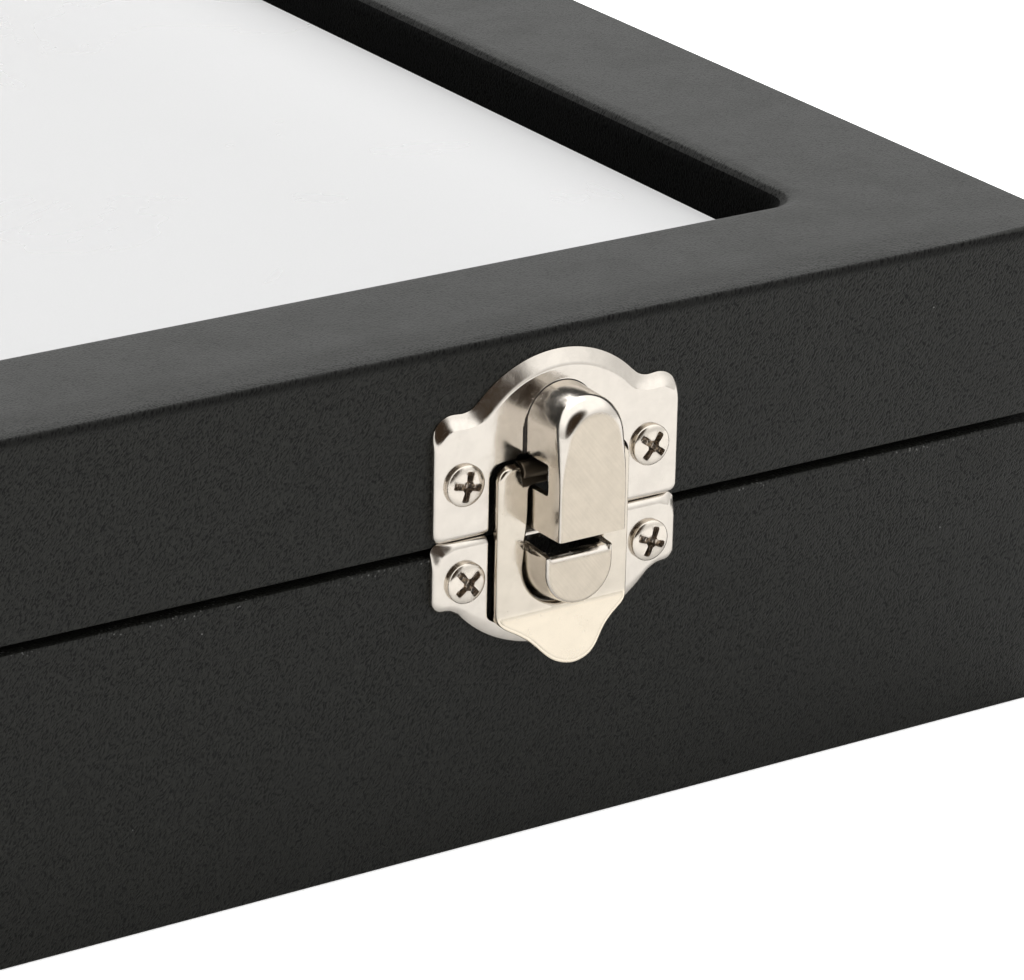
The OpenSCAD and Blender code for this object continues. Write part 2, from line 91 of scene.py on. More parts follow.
class Mat:
    """A material and short ways to its nodes. Texture space is the object's own, in millimetres."""

    def __init__(self, name):
        self.m = bpy.data.materials.new(name)
        self.m.use_nodes = True
        self.t = self.m.node_tree
        self.t.nodes.clear()
        self.out = self.t.nodes.new("ShaderNodeOutputMaterial")
        self.co = self.vec("SCALE", self.node("TexCoord").outputs["Object"], 1000.0)

    def node(self, kind, **kw):
        n = self.t.nodes.new("ShaderNode" + kind)
        for k, v in kw.items():
            setattr(n, k, v)
        return n

    def put(self, socket, v):
        if isinstance(v, bpy.types.NodeSocket):
            self.t.links.new(v, socket)
        elif v is not None:
            socket.default_value = v

    def math(self, op, a, b=None, c=None, clamp=False):
        n = self.node("Math", operation=op, use_clamp=clamp)
        for s, v in zip(n.inputs, (a, b, c)):
            self.put(s, v)
        return n.outputs[0]

    def vec(self, op, a, b=None):
        n = self.node("VectorMath", operation=op)
        self.put(n.inputs[0], a)
        if op == "SCALE":
            self.put(n.inputs["Scale"], b)
        elif b is not None:
            self.put(n.inputs[1], b)
        return n.outputs["Value" if op in ("DOT_PRODUCT", "LENGTH", "DISTANCE") else "Vector"]

    def xyz(self, v):
        n = self.node("SeparateXYZ")
        self.put(n.inputs[0], v)
        return n.outputs

    def along(self, v, axes, scales):
        """v measured along three axes, each scaled."""
        n = self.node("CombineXYZ")
        for s, a, k in zip(n.inputs, axes, scales):
            self.put(s, self.vec("DOT_PRODUCT", v, tuple(x * k for x in a)))
        return n.outputs[0]

    def noise(self, v, scale, detail=2.0, rough=0.5, distort=0.0, colour=False):
        n = self.node("TexNoise")
        self.put(n.inputs["Vector"], v)
        n.inputs["Scale"].default_value = scale
        n.inputs["Detail"].default_value = detail
        n.inputs["Roughness"].default_value = rough
        n.inputs["Distortion"].default_value = distort
        return n.outputs["Color" if colour else "Fac"]

    def voronoi(self, v, scale, feature="F1", random=1.0):
        n = self.node("TexVoronoi", feature=feature)
        self.put(n.inputs["Vector"], v)
        n.inputs["Scale"].default_value = scale
        n.inputs["Randomness"].default_value = random
        return n.outputs["Distance"], n.outputs.get("Color")

    def span(self, v, a, b, lo=0.0, hi=1.0, kind="SMOOTHSTEP"):
        n = self.node("MapRange", interpolation_type=kind)
        self.put(n.inputs["Value"], v)
        for k, x in zip(("From Min", "From Max", "To Min", "To Max"), (a, b, lo, hi)):
            self.put(n.inputs[k], x)
        return n.outputs["Result"]

    def mix(self, f, a, b, blend="MIX"):
        n = self.node("Mix", data_type="RGBA", blend_type=blend)
        self.put(n.inputs[0], f)
        for i, v in ((6, a), (7, b)):
            self.put(n.inputs[i], v if isinstance(v, bpy.types.NodeSocket) or len(v) == 4 else (*v, 1))
        return n.outputs[2]

    def ramp(self, f, stops):
        n = self.node("ValToRGB")
        self.put(n.inputs[0], f)
        e = n.color_ramp.elements
        while len(e) < len(stops):
            e.new(0.5)
        for x, (p, c) in zip(e, stops):
            x.position = p
            x.color = (*c, 1)
        return n.outputs[0]

    def bump(self, height, distance=MM, strength=1.0, normal=None):
        n = self.node("Bump")
        self.put(n.inputs["Height"], height)
        n.inputs["Distance"].default_value = distance
        n.inputs["Strength"].default_value = strength
        self.put(n.inputs["Normal"], normal)
        return n.outputs[0]

    def principled(self, **kw):
        n = self.node("BsdfPrincipled")
        names = {k.replace("_", " ").lower(): k for k in kw}
        for s in n.inputs:
            if s.name.lower() in names:
                v = kw[names.pop(s.name.lower())]
                if not isinstance(v, bpy.types.NodeSocket) and hasattr(v, "__len__") and len(v) == 3 and s.type == "RGBA":
                    v = (*v, 1)
                self.put(s, v)
        assert not names, names
        return n.outputs[0]

    def done(self, shader):
        self.put(self.out.inputs["Surface"], shader)
        return self.m


def frame_along(d):
    """Three unit axes, the first along d."""
    a = Vector(d).normalized()
    b = a.cross(Vector((0.31, -0.87, 0.38))).normalized()
    return [tuple(a), tuple(b), tuple(a.cross(b))]


def leather(name, tint=(0.0112, 0.0115, 0.0094), shine=0.2, seam_dust=False, painted_edge_shade=False):
    """Fine pebbled leatherette: short pits and ridges that lean one way, low sheen, dust and a few light marks."""
    m = Mat(name)
    p = m.co
    wobble = m.vec("SCALE", m.vec("SUBTRACT", m.noise(p, 0.9, 1.0, colour=True), (0.5, 0.5, 0.5)), 0.22)
    q = m.along(m.vec("ADD", p, wobble), frame_along((0.5, 0.41, 0.66)), (0.29, 1.0, 1.0))
    pebble = m.noise(q, 5.9, 1.0, 0.5)
    lump = m.noise(q, 2.9, 1.0, 0.5)
    x, y, z = (m.xyz(p)[k] for k in range(3))
    calm = m.span(z, 49.5, 49.85, 1.0, 0.42)
    fine = m.noise(p, 11.0, 1.0)
    area = m.noise(p, 0.05, 2.0, 0.5)
    coarse = m.noise(p, 0.12, 1.0)
    pit = m.math("MULTIPLY", m.span(pebble, 0.50, 0.34), calm)
    strong = m.span(area, 0.32, 0.68, 0.8, 1.1)
    relief = m.math("MULTIPLY", m.span(pebble, 0.28, 0.66), 0.046)
    relief = m.math("MULTIPLY_ADD", lump, 0.034, relief)
    relief = m.math("MULTIPLY", relief, m.math("MULTIPLY", strong, calm))
    relief = m.math("MULTIPLY_ADD", fine, 0.002, relief)
    relief = m.math("MULTIPLY_ADD", coarse, 0.03, relief)
    normal = m.bump(relief)
    # colour: painted shade darkens the grain's pits and a painted highlight lightens its high spots, and the dye drifts
    # slowly
    shade = m.math("MULTIPLY_ADD", pit, -0.78, 1.0)
    # painted highlight on the high spots of the grain, weaker on the top face
    shade = m.math("MULTIPLY_ADD", m.math("MULTIPLY", m.span(pebble, 0.54, 0.70), calm), 0.42, shade)
    shade = m.math("MULTIPLY", shade, m.span(lump, 0.3, 0.75, 0.9, 1.12))
    shade = m.math("MULTIPLY", shade, m.span(area, 0.3, 0.7, 0.96, 1.05))
    rough = m.math("MULTIPLY_ADD", pit, 0.22, 0.42)
    if painted_edge_shade:
        # a ragged band just under the top edge is painted darker as painted shade, and is made rougher there
        ragged = m.math("ADD", z, m.math("MULTIPLY", m.math("SUBTRACT", pebble, 0.5), 1.1))
        band = m.math("MULTIPLY", m.span(ragged, 48.6, 49.2), m.span(z, 49.72, 49.55))
        shade = m.math("MULTIPLY", shade, m.math("MULTIPLY_ADD", band, -0.55, 1.0))
        rough = m.math("MULTIPLY_ADD", band, 0.3, rough)
    dark = m.mix(1.0, tint, m.along_grey(shade), "MULTIPLY")
    dust, dust_id = m.voronoi(p, 0.16)
    dust_pick = m.xyz(dust_id)
    speck = m.math("MULTIPLY", m.span(dust, 0.016, 0.008), m.span(dust_pick[1], 0.40, 0.45))
    if seam_dust:
        near, near_id = m.voronoi(p, 2.5)
        band = m.math("MULTIPLY", m.span(z, 29.1, 29.5), m.span(z, 30.0, 29.9))
        crumbs = m.math("MULTIPLY", m.span(near, 0.30, 0.15), m.span(m.xyz(near_id)[0], 0.38, 0.5))
        crumbs = m.math("MULTIPLY", crumbs, m.span(m.noise(p, 0.11, 1.0), 0.38, 0.55))
        speck = m.math("MAXIMUM", speck, m.math("MULTIPLY", m.math("MULTIPLY", crumbs, band), 0.6))
    colour = m.mix(m.math("MULTIPLY", speck, 0.5), dark, (0.30, 0.30, 0.29))
    # sheen: broad polish marks and duller pits
    polish = m.span(m.noise(p, 0.21, 3.0, 0.6), 0.35, 0.7, -0.015, 0.025)
    rough = m.math("ADD", rough, polish)
    rough = m.math("MULTIPLY_ADD", fine, 0.06, rough)
    return m.done(m.principled(base_color=colour, roughness=rough, normal=normal, specular_ior_level=shine,
                               sheen_weight=0.01, sheen_roughness=0.4))


def grey(self, v):
    n = self.node("CombineColor")
    for s in n.inputs:
        self.put(s, v)
    return n.outputs[0]


Mat.along_grey = grey


def scratches(m, p, direction, along, across, lo, hi):
    """Thin straight marks along one direction, 0 to 1."""
    q = m.along(p, frame_along(direction), (along, across, across))
    return m.span(m.noise(q, 1.0, 1.0, 0.4), lo, hi)


def nickel(name, tint=(0.62, 0.575, 0.515), rough=0.12, satin_front=None, wear=1.0, flap_painted_shade_and_highlight=False):
    """Bright nickel plate on pressed steel: handling marks, hairline scratches, faint waviness."""
    m = Mat(name)
    p = m.co
    prints = m.noise(p, 0.42, 4.0, 0.62, 0.6)
    blot = m.noise(p, 1.7, 3.0, 0.6)
    s1 = scratches(m, p, (0.55, 0.1, 0.85), 0.10, 7.0, 0.60, 0.72)
    s2 = scratches(m, p, (0.9, 0.2, -0.35), 0.13, 9.0, 0.63, 0.74)
    s3 = scratches(m, p, (0.1, 0.3, 1.0), 0.16, 11.0, 0.64, 0.75)
    marks = m.math("MAXIMUM", s1, m.math("MAXIMUM", s2, s3))
    marks = m.math("MULTIPLY", marks, m.span(m.noise(p, 0.3, 1.0), 0.42, 0.62))
    wave = m.noise(p, 0.33, 1.0)
    peel = m.noise(p, 1.3, 2.0)
    relief = m.math("MULTIPLY", wave, 0.045)
    relief = m.math("MULTIPLY_ADD", peel, 0.0045, relief)
    relief = m.math("MULTIPLY_ADD", marks, -0.0006 * wear, relief)
    r = m.math("MULTIPLY_ADD", m.span(prints, 0.40, 0.72), 0.10 * wear, rough)
    r = m.math("MULTIPLY_ADD", m.span(blot, 0.5, 0.75), 0.05 * wear, r)
    r = m.math("MULTIPLY_ADD", marks, 0.06 * wear, r)
    tone = m.span(m.noise(p, 0.6, 3.0, 0.6), 0.3, 0.7, 0.95, 1.03)
    x, y, z = (m.xyz(p)[k] for k in range(3))
    if satin_front is not None:
        # the outermost face was finished with diagonal strokes
        face = m.span(y, satin_front + 0.12, satin_front + 0.02)
        brush = m.noise(m.along(p, frame_along((0.62, 0.0, -0.78)), (0.22, 7.0, 7.0)), 1.0, 2.0, 0.5)
        r = m.math("MULTIPLY_ADD", face, 0.16, r)
        relief = m.math("MULTIPLY_ADD", m.math("MULTIPLY", face, brush), 0.004, relief)
        tone = m.math("MULTIPLY", tone, m.math("MULTIPLY_ADD", face, m.span(brush, 0.3, 0.7, -0.075, -0.02), 1.0))
    colour = m.mix(1.0, tint, m.along_grey(tone), "MULTIPLY")
    colour = m.mix(m.math("MULTIPLY", m.span(blot, 0.58, 0.8), 0.14 * wear), colour, (0.50, 0.43, 0.35))
    if satin_front is not None:
        colour = m.mix(face, colour, m.mix(1.0, colour, (0.90, 0.86, 0.79), "MULTIPLY"))
    if flap_painted_shade_and_highlight:
        # painted shade, dark brown, in the corner of the bend where the leaf turns into its crossbar, and a painted
        # cream highlight on the flared tip; both are also rougher
        near = m.math("SUBTRACT", m.math("ABSOLUTE", x), 116.0)
        bar = m.math("MULTIPLY", m.span(z, 35.55, 35.75), m.span(m.math("ABSOLUTE", near), 4.75, 4.55))
        colour = m.mix(m.math("MULTIPLY", bar, 0.93), colour, (0.10, 0.076, 0.05))
        r = m.math("MULTIPLY_ADD", bar, 0.32, r)
        painted_tip_highlight = m.span(z, 23.4, 22.9)
        colour = m.mix(m.math("MULTIPLY", painted_tip_highlight, 0.8), colour, (0.84, 0.745, 0.60))
        r = m.math("MULTIPLY_ADD", painted_tip_highlight, 0.06, r)
    return m.done(m.principled(base_color=colour, metallic=1.0, roughness=r, normal=m.bump(relief),
                               specular_ior_level=0.5))


def recess(name):
    """The driver's recess in a screw: plate worn through, grease and dirt, and a few bright streaks left by drivers."""
    m = Mat(name)
    p = m.co
    dirt = m.noise(p, 2.4, 3.0, 0.6)
    grit = m.noise(p, 7.0, 2.0, 0.6)
    streak = scratches(m, p, (0.4, 0.2, 0.9), 0.8, 5.5, 0.56, 0.66)
    colour = m.mix(m.span(dirt, 0.42, 0.62), (0.05, 0.035, 0.022), (0.32, 0.24, 0.165))
    colour = m.mix(m.math("MULTIPLY", streak, 0.8), colour, (0.72, 0.64, 0.55))
    metal = m.math("MAXIMUM", m.span(dirt, 0.42, 0.62, 0.2, 0.9), streak)
    relief = m.math("MULTIPLY_ADD", dirt, 0.12, m.math("MULTIPLY", grit, 0.03))
    return m.done(m.principled(base_color=colour, metallic=metal,
                               roughness=m.span(grit, 0.3, 0.7, 0.25, 0.5), normal=m.bump(relief)))


def painted_crease_shade(name):
    """The sharp inner corner at the foot of the pressed boss and of the lug, painted near black and brown as shade."""
    m = Mat(name)
    p = m.co
    fill = m.noise(p, 1.6, 3.0, 0.6)
    colour = m.mix(m.span(fill, 0.35, 0.65), (0.010, 0.007, 0.005), (0.05, 0.036, 0.024))
    return m.done(m.principled(base_color=colour, metallic=0.3, roughness=m.span(fill, 0.3, 0.7, 0.4, 0.6),
                               normal=m.bump(m.math("MULTIPLY", fill, 0.03))))


def velvet(name, tint=(0.60, 0.60, 0.595)):
    m = Mat(name)
    p = m.co
    pile = m.noise(p, 3.2, 3.0, 0.65)
    tuft, tuft_id = m.voronoi(p, 4.0)
    nap = m.noise(p, 0.05, 3.0, 0.55, 0.4)
    brushed = m.noise(m.along(p, frame_along((0.9, 0.35, 0.1)), (0.02, 0.14, 0.14)), 1.0, 2.0)
    tone = m.span(m.math("ADD", m.math("MULTIPLY", nap, 0.6), m.math("MULTIPLY", brushed, 0.4)), 0.36, 0.64, 0.965, 1.02)
    tone = m.math("MULTIPLY", tone, m.span(pile, 0.3, 0.7, 0.97, 1.02))
    colour = m.mix(1.0, tint, m.along_grey(tone), "MULTIPLY")
    relief = m.math("MULTIPLY", pile, 0.10)
    relief = m.math("MULTIPLY_ADD", tuft, -0.06, relief)
    relief = m.math("MULTIPLY_ADD", brushed, 0.15, relief)
    return m.done(m.principled(base_color=colour, roughness=m.span(pile, 0.3, 0.7, 0.86, 0.97), normal=m.bump(relief),
                               specular_ior_level=0.2, sheen_weight=0.18, sheen_roughness=0.5))


def fibreboard(name, tint=(0.42, 0.31, 0.2)):
    m = Mat(name)
    p = m.co
    fibre = m.noise(m.along(p, frame_along((1.0, 0.3, 0.1)), (0.5, 2.6, 2.6)), 1.0, 4.0, 0.65, 0.5)
    chip = m.noise(p, 1.9, 4.0, 0.7)
    spot, spot_id = m.voronoi(p, 0.7)
    shade = m.span(m.math("ADD", m.math("MULTIPLY", fibre, 0.6), m.math("MULTIPLY", chip, 0.4)), 0.3, 0.7, 0.68, 1.2)
    colour = m.mix(1.0, tint, m.along_grey(shade), "MULTIPLY")
    colour = m.mix(m.math("MULTIPLY", m.span(spot, 0.22, 0.1), 0.35), colour, (0.16, 0.10, 0.06))
    relief = m.math("MULTIPLY_ADD", fibre, 0.10, m.math("MULTIPLY", chip, 0.06))
    return m.done(m.principled(base_color=colour, roughness=m.span(chip, 0.3, 0.7, 0.78, 0.95), normal=m.bump(relief),
                               specular_ior_level=0.3))


def paper(name, tint=(0.028, 0.028, 0.028)):
    """Black flocked backing paper."""
    m = Mat(name)
    p = m.co
    crepe = m.noise(m.along(p, frame_along((0.2, 1.0, 0.0)), (1.4, 0.45, 1.0)), 1.0, 4.0, 0.6, 0.8)
    fibre = m.noise(p, 5.0, 3.0, 0.6)
    rub = m.noise(p, 0.035, 3.0, 0.6)
    shade = m.math("MULTIPLY", m.span(crepe, 0.3, 0.7, 0.8, 1.25), m.span(rub, 0.3, 0.72, 0.85, 1.35))
    colour = m.mix(1.0, tint, m.along_grey(shade), "MULTIPLY")
    lint, lint_id = m.voronoi(p, 0.16)
    speck = m.math("MULTIPLY", m.span(lint, 0.03, 0.015), m.span(m.xyz(lint_id)[1], 0.5, 0.6))
    colour = m.mix(m.math("MULTIPLY", speck, 0.5), colour, (0.3, 0.3, 0.29))
    relief = m.math("MULTIPLY_ADD", crepe, 0.14, m.math("MULTIPLY", fibre, 0.05))
    return m.done(m.principled(base_color=colour, roughness=m.span(rub, 0.3, 0.7, 0.92, 0.74), normal=m.bump(relief),
                               specular_ior_level=0.35, sheen_weight=0.1, sheen_roughness=0.5))


def foam(name, tint=(0.82, 0.81, 0.78)):
    m = Mat(name)
    p = m.co
    cell, cell_id = m.voronoi(p, 1.5)
    small, small_id = m.voronoi(p, 3.7)
    tone = m.math("MULTIPLY", m.span(cell, 0.1, 0.6, 0.72, 1.02), m.span(m.noise(p, 0.06, 2.0), 0.3, 0.7, 0.94, 1.04))
    colour = m.mix(1.0, tint, m.along_grey(tone), "MULTIPLY")
    relief = m.math("MULTIPLY_ADD", m.span(cell, 0.0, 0.5), 0.28, m.math("MULTIPLY", small, 0.1))
    return m.done(m.principled(base_color=colour, roughness=0.95, normal=m.bump(relief), specular_ior_level=0.2))


def glass(name):
    """Pane with a matte, hazy face: a third of the light goes through and spreads, the rest comes back as light grey.
    To the camera the face also glows as painted light, a little more beside the side lips to lift their shade.
    """
    m = Mat(name)
    p = m.co
    smear = m.noise(p, 0.03, 4.0, 0.6, 1.2)
    grain = m.noise(p, 6.0, 2.0, 0.5)
    body = m.principled(base_color=(1.0, 1.0, 1.0), transmission_weight=1.0, ior=1.2,
                        roughness=m.span(smear, 0.4, 0.75, 0.24, 0.30),
                        normal=m.bump(m.noise(p, 0.012, 1.0), MM, 0.05))
    matte = m.principled(base_color=m.mix(m.span(grain, 0.3, 0.7), (0.29, 0.29, 0.29), (0.31, 0.31, 0.31)),
                         roughness=0.8, specular_ior_level=0.1)
    # painted light: the face glows for camera rays, more beside the side lips where it lifts their shade
    painted_glow = m.node("Emission")
    painted_glow.inputs[0].default_value = (1, 1, 1, 1)
    lip_shade_lift = m.span(m.math("ABSOLUTE", m.xyz(p)[0]), 122.0, 149.0)
    m.put(painted_glow.inputs[1], m.math("MULTIPLY_ADD", m.math("POWER", lip_shade_lift, 1.3), 0.09, 0.53))
    haze = m.node("AddShader")
    m.put(haze.inputs[0], matte)
    m.put(haze.inputs[1], painted_glow.outputs[0])
    ray = m.node("LightPath")
    seen = m.node("MixShader")
    m.put(seen.inputs[0], ray.outputs["Is Camera Ray"])
    m.put(seen.inputs[1], matte)
    m.put(seen.inputs[2], haze.outputs[0])
    pane = m.node("MixShader")
    pane.inputs[0].default_value = 0.68
    m.put(pane.inputs[1], body)
    m.put(pane.inputs[2], seen.outputs[0])
    clear = m.node("BsdfTransparent")
    clear.inputs[0].default_value = (0.9, 0.9, 0.9, 1)
    mixer = m.node("MixShader")
    m.put(mixer.inputs[0], ray.outputs["Is Shadow Ray"])
    m.put(mixer.inputs[1], pane.outputs[0])
    m.put(mixer.inputs[2], clear.outputs[0])
    return m.done(mixer.outputs[0])


def glass_edge(name):
    """Ground edge of the pane, where the glass looks blue-green."""
    m = Mat(name)
    p = m.co
    ground = m.noise(p, 4.0, 3.0, 0.6)
    z = m.xyz(p)[2]
    colour = m.mix(m.span(z, 42.1, 44.3), (0.12, 0.20, 0.19), (0.2, 0.32, 0.30))
    colour = m.mix(m.span(ground, 0.35, 0.7), colour, (0.34, 0.46, 0.44))
    return m.done(m.principled(base_color=colour, roughness=m.span(ground, 0.3, 0.7, 0.25, 0.5),
                               normal=m.bump(m.math("MULTIPLY", ground, 0.03)), ior=1.5))


M = {
    "leatherette": leather("leatherette_lid", painted_edge_shade=True),
    # near black copy of the leather for the inner edge: painted shade
    "leatherette_reveal_painted_shade": leather("leatherette_reveal_painted_shade", (0.0016, 0.0017, 0.0015), 0.012),
    "leatherette_base": leather("leatherette_base", seam_dust=True),
    "nickel_plate": nickel("nickel_plate", satin_front=-126.6),
    "nickel_lug": nickel("nickel_lug", satin_front=-124.7),
    "nickel_flap": nickel("nickel_flap", (0.585, 0.53, 0.45), flap_painted_shade_and_highlight=True),
    "screw_nickel": nickel("screw_nickel", (0.66, 0.605, 0.53), 0.15, wear=1.3),
    "screw_recess": recess("screw_recess"),
    "nickel_crease_painted_shade": painted_crease_shade("nickel_crease_painted_shade"),
    "hinge_steel": nickel("hinge_steel", (0.66, 0.63, 0.58), 0.22, wear=1.2),
    "spring_steel": nickel("spring_steel", (0.56, 0.55, 0.53), 0.24, wear=1.4),
    "velvet": velvet("velvet"),
    # the lining is a lighter copy of the pad's velvet: painted light that lifts the shade on its upright walls
    "velvet_lining": velvet("velvet_lining", (0.9, 0.9, 0.895)),
    "fibreboard": fibreboard("fibreboard"),
    "backing_paper": paper("backing_paper"),
    "foam": foam("foam"),
    "glass": glass("glass"),
    "glass_edge": glass_edge("glass_edge"),
}

# ---------------------------------------------------------------- mesh helpers


def make(name, verts, faces, scale=MM, mats=(), index=None, angle=35.0):
    me = bpy.data.meshes.new(name)
    me.from_pydata([tuple(v) for v in np.asarray(verts, float) * scale], [], [tuple(int(i) for i in f) for f in faces])
    ob = bpy.data.objects.new(name, me)
    scene.collection.objects.link(ob)
    for x in mats:
        me.materials.append(x)
    if index is not None:
        me.polygons.foreach_set("material_index", np.asarray(index, np.int32))
    smooth(ob, angle)
    return ob


def smooth(ob, angle=35.0):
    me = ob.data
    me.update()
    me.shade_smooth()
    me.set_sharp_from_angle(angle=math.radians(angle))


def outward(ob):
    """Turns the faces of a closed mesh so that they look out."""
    bm = bmesh.new()
    bm.from_mesh(ob.data)
    bmesh.ops.recalc_face_normals(bm, faces=bm.faces)
    if bm.calc_volume(signed=True) < 0:
        bmesh.ops.reverse_faces(bm, faces=bm.faces)
    bm.to_mesh(ob.data)
    bm.free()
    return ob


def remove(ob):
    me = ob.data
    bpy.data.objects.remove(ob)
    if me.users == 0:
        bpy.data.meshes.remove(me)


def applied(ob):
    """The object's mesh with its modifiers applied."""
    bpy.context.view_layer.update()
    me = bpy.data.meshes.new_from_object(ob.evaluated_get(bpy.context.evaluated_depsgraph_get()))
    old = ob.data
    ob.modifiers.clear()
    ob.data = me
    if old.users == 0:
        bpy.data.meshes.remove(old)
    return ob


def cut(a, b, op="DIFFERENCE"):
    """a with the closed mesh b taken from it or joined to it. b is used up."""
    mod = a.modifiers.new("cut", "BOOLEAN")
    mod.operation = op
    mod.solver = "EXACT"
    mod.object = b
    applied(a)
    remove(b)
    return a


def block(x0, x1, y0, y1, z0, z1):
    v = [(x, y, z) for z in (z0, z1) for y in (y0, y1) for x in (x0, x1)]
    f = [(0, 2, 3, 1), (4, 5, 7, 6), (0, 1, 5, 4), (2, 6, 7, 3), (0, 4, 6, 2), (1, 3, 7, 5)]
    return make("block", v, f, 1.0)


def smoothstep(x, a, b):
    t = np.clip((np.asarray(x, float) - a) / (b - a), 0, 1)
    return t * t * (3 - 2 * t)


def arc(cx, cy, r, a0, a1, n):
    t = np.radians(np.linspace(a0, a1, n + 1))
    return [(cx + r * math.cos(a), cy + r * math.sin(a)) for a in t]


def mirrored(side):
    """A symmetric closed outline from its right half, counter-clockwise."""
    p = list(side) + [(-x, y) for x, y in reversed(side) if abs(x) > 1e-9]
    p = np.array(p, float)
    a = 0.5 * np.sum(p[:, 0] * np.roll(p[:, 1], -1) - np.roll(p[:, 0], -1) * p[:, 1])
    return p if a > 0 else p[::-1]


def sdf(points, loop):
    """Distance of points to a closed loop, positive inside."""
    p = np.asarray(points, float)
    a = np.asarray(loop, float)
    b = np.roll(a, -1, 0)
    ab = b - a
    l2 = (ab**2).sum(1)
    ok = l2 > 1e-18
    a, b, ab, l2 = a[ok], b[ok], ab[ok], l2[ok]
    dy = np.where(np.abs(ab[:, 1]) < 1e-15, 1.0, ab[:, 1])
    out = np.empty(len(p))
    for s in range(0, len(p), 6000):
        q = p[s : s + 6000, None, :]
        t = np.clip(((q - a) * ab).sum(2) / l2, 0, 1)
        dist = np.sqrt((((q - a) - t[..., None] * ab) ** 2).sum(2).min(1))
        y, x = q[..., 1], q[..., 0]
        cross = ((a[:, 1] > y) != (b[:, 1] > y)) & (x < a[:, 0] + (y - a[:, 1]) / dy * ab[:, 0])
        out[s : s + 6000] = np.where(cross.sum(1) % 2 == 1, dist, -dist)
    return out


def even(loop, step):
    p = np.vstack([loop, loop[:1]])
    d = np.r_[0, np.cumsum(np.hypot(*np.diff(p, axis=0).T))]
    n = max(8, int(round(d[-1] / step)))
    t = np.linspace(0, d[-1], n, endpoint=False)
    return np.stack([np.interp(t, d, p[:, 0]), np.interp(t, d, p[:, 1])], 1)


def dense(loop, step):
    """The same closed outline with its long edges split; its own corners stay."""
    out = []
    p = np.asarray(loop, float)
    for a, b in zip(p, np.roll(p, -1, 0)):
        n = max(1, int(math.ceil(np.hypot(*(b - a)) / step)))
        out += [a + (b - a) * i / n for i in range(n)]
    return np.array(out)


def contours(f, box, step, levels, spacing):
    """Closed level lines of f over the box, walked and resampled evenly."""
    x0, x1, y0, y1 = box
    xs = np.arange(x0, x1 + step, step)
    ys = np.arange(y0, y1 + step, step)
    gx, gy = np.meshgrid(xs, ys)
    whole = f(np.stack([gx.ravel(), gy.ravel()], 1)).reshape(gx.shape)
    out = []
    for level in levels:
        g = whole - level
        g[np.abs(g) < 1e-9] = 1e-9
        s = g > 0
        pts, link = {}, {}

        def across(j, i, k):
            key = (k, j, i)
            if key not in pts:
                if k == 0:
                    t = g[j, i] / (g[j, i] - g[j, i + 1])
                    pts[key] = (xs[i] + t * step, ys[j])
                else:
                    t = g[j, i] / (g[j, i] - g[j + 1, i])
                    pts[key] = (xs[i], ys[j] + t * step)
            return key

        total = s[:-1, :-1].astype(int) + s[:-1, 1:] + s[1:, :-1] + s[1:, 1:]
        for j, i in np.argwhere((total > 0) & (total < 4)):
            c = []
            if s[j, i] != s[j, i + 1]:
                c.append(across(j, i, 0))
            if s[j, i + 1] != s[j + 1, i + 1]:
                c.append(across(j, i + 1, 1))
            if s[j + 1, i] != s[j + 1, i + 1]:
                c.append(across(j + 1, i, 0))
            if s[j, i] != s[j + 1, i]:
                c.append(across(j, i, 1))
            if len(c) == 2:
                pairs = [(c[0], c[1])]
            elif s[j, i] == (g[j : j + 2, i : i + 2].mean() > 0):
                pairs = [(c[0], c[1]), (c[2], c[3])]
            else:
                pairs = [(c[3], c[0]), (c[1], c[2])]
            for a, b in pairs:
                link.setdefault(a, []).append(b)
                link.setdefault(b, []).append(a)
        seen = set()
        for start in link:
            if start in seen:
                continue
            walk, cur = [start], start
            seen.add(start)
            while True:
                nxt = [n for n in link[cur] if n not in seen]
                if not nxt:
                    break
                cur = nxt[0]
                seen.add(cur)
                walk.append(cur)
            if len(walk) > 6:
                out.append(even(np.array([pts[k] for k in walk]), spacing))
    return out


def triangles(loops, inside, extra=()):
    """Constrained triangulation of the loops, kept where inside() says so."""
    pts, edges = [], []
    for loop in loops:
        k, n = len(pts), len(loop)
        pts += [Vector((float(x), float(y))) for x, y in loop]
        edges += [(k + i, k + (i + 1) % n) for i in range(n)]
    pts += [Vector((float(x), float(y))) for x, y in extra]
    v, _, f, *_ = delaunay_2d_cdt(pts, edges, [], 0, 1e-5)
    v = np.array([(p[0], p[1]) for p in v])
    f = np.array([tuple(t) for t in f])
    e1, e2 = v[f[:, 1]] - v[f[:, 0]], v[f[:, 2]] - v[f[:, 0]]
    area = e1[:, 0] * e2[:, 1] - e1[:, 1] * e2[:, 0]
    f[area < 0] = f[area < 0][:, ::-1]
    f = f[np.abs(area) > 1e-9]
    f = f[inside(v[f].mean(1))]
    used, back = np.unique(f, return_inverse=True)
    return v[used], back.reshape(-1, 3)


def relief(name, loops, inside, front, back, extra=(), angle=32.0):
    """A closed solid over a flat domain (u, w): front and back give its two heights."""
    v, f = triangles(loops, inside, extra)
    n = len(v)
    top = np.c_[v, front(v)]
    low = np.c_[v, back(v)]
    faces = [tuple(t) for t in f] + [tuple(t[::-1] + n) for t in f]
    edge = {(t[i], t[(i + 1) % 3]) for t in f for i in range(3)}
    faces += [(b, a, a + n, b + n) for a, b in edge if (b, a) not in edge]
    return make(name, np.vstack([top, low]), faces, 1.0, angle=angle)


def grid_points(box, step, keep):
    x0, x1, y0, y1 = box
    gx, gy = np.meshgrid(np.arange(x0, x1, step), np.arange(y0, y1, step))
    gx = gx + (np.arange(gx.shape[0]) % 2)[:, None] * step / 2
    p = np.stack([gx.ravel(), gy.ravel()], 1)
    return p[keep(p)]


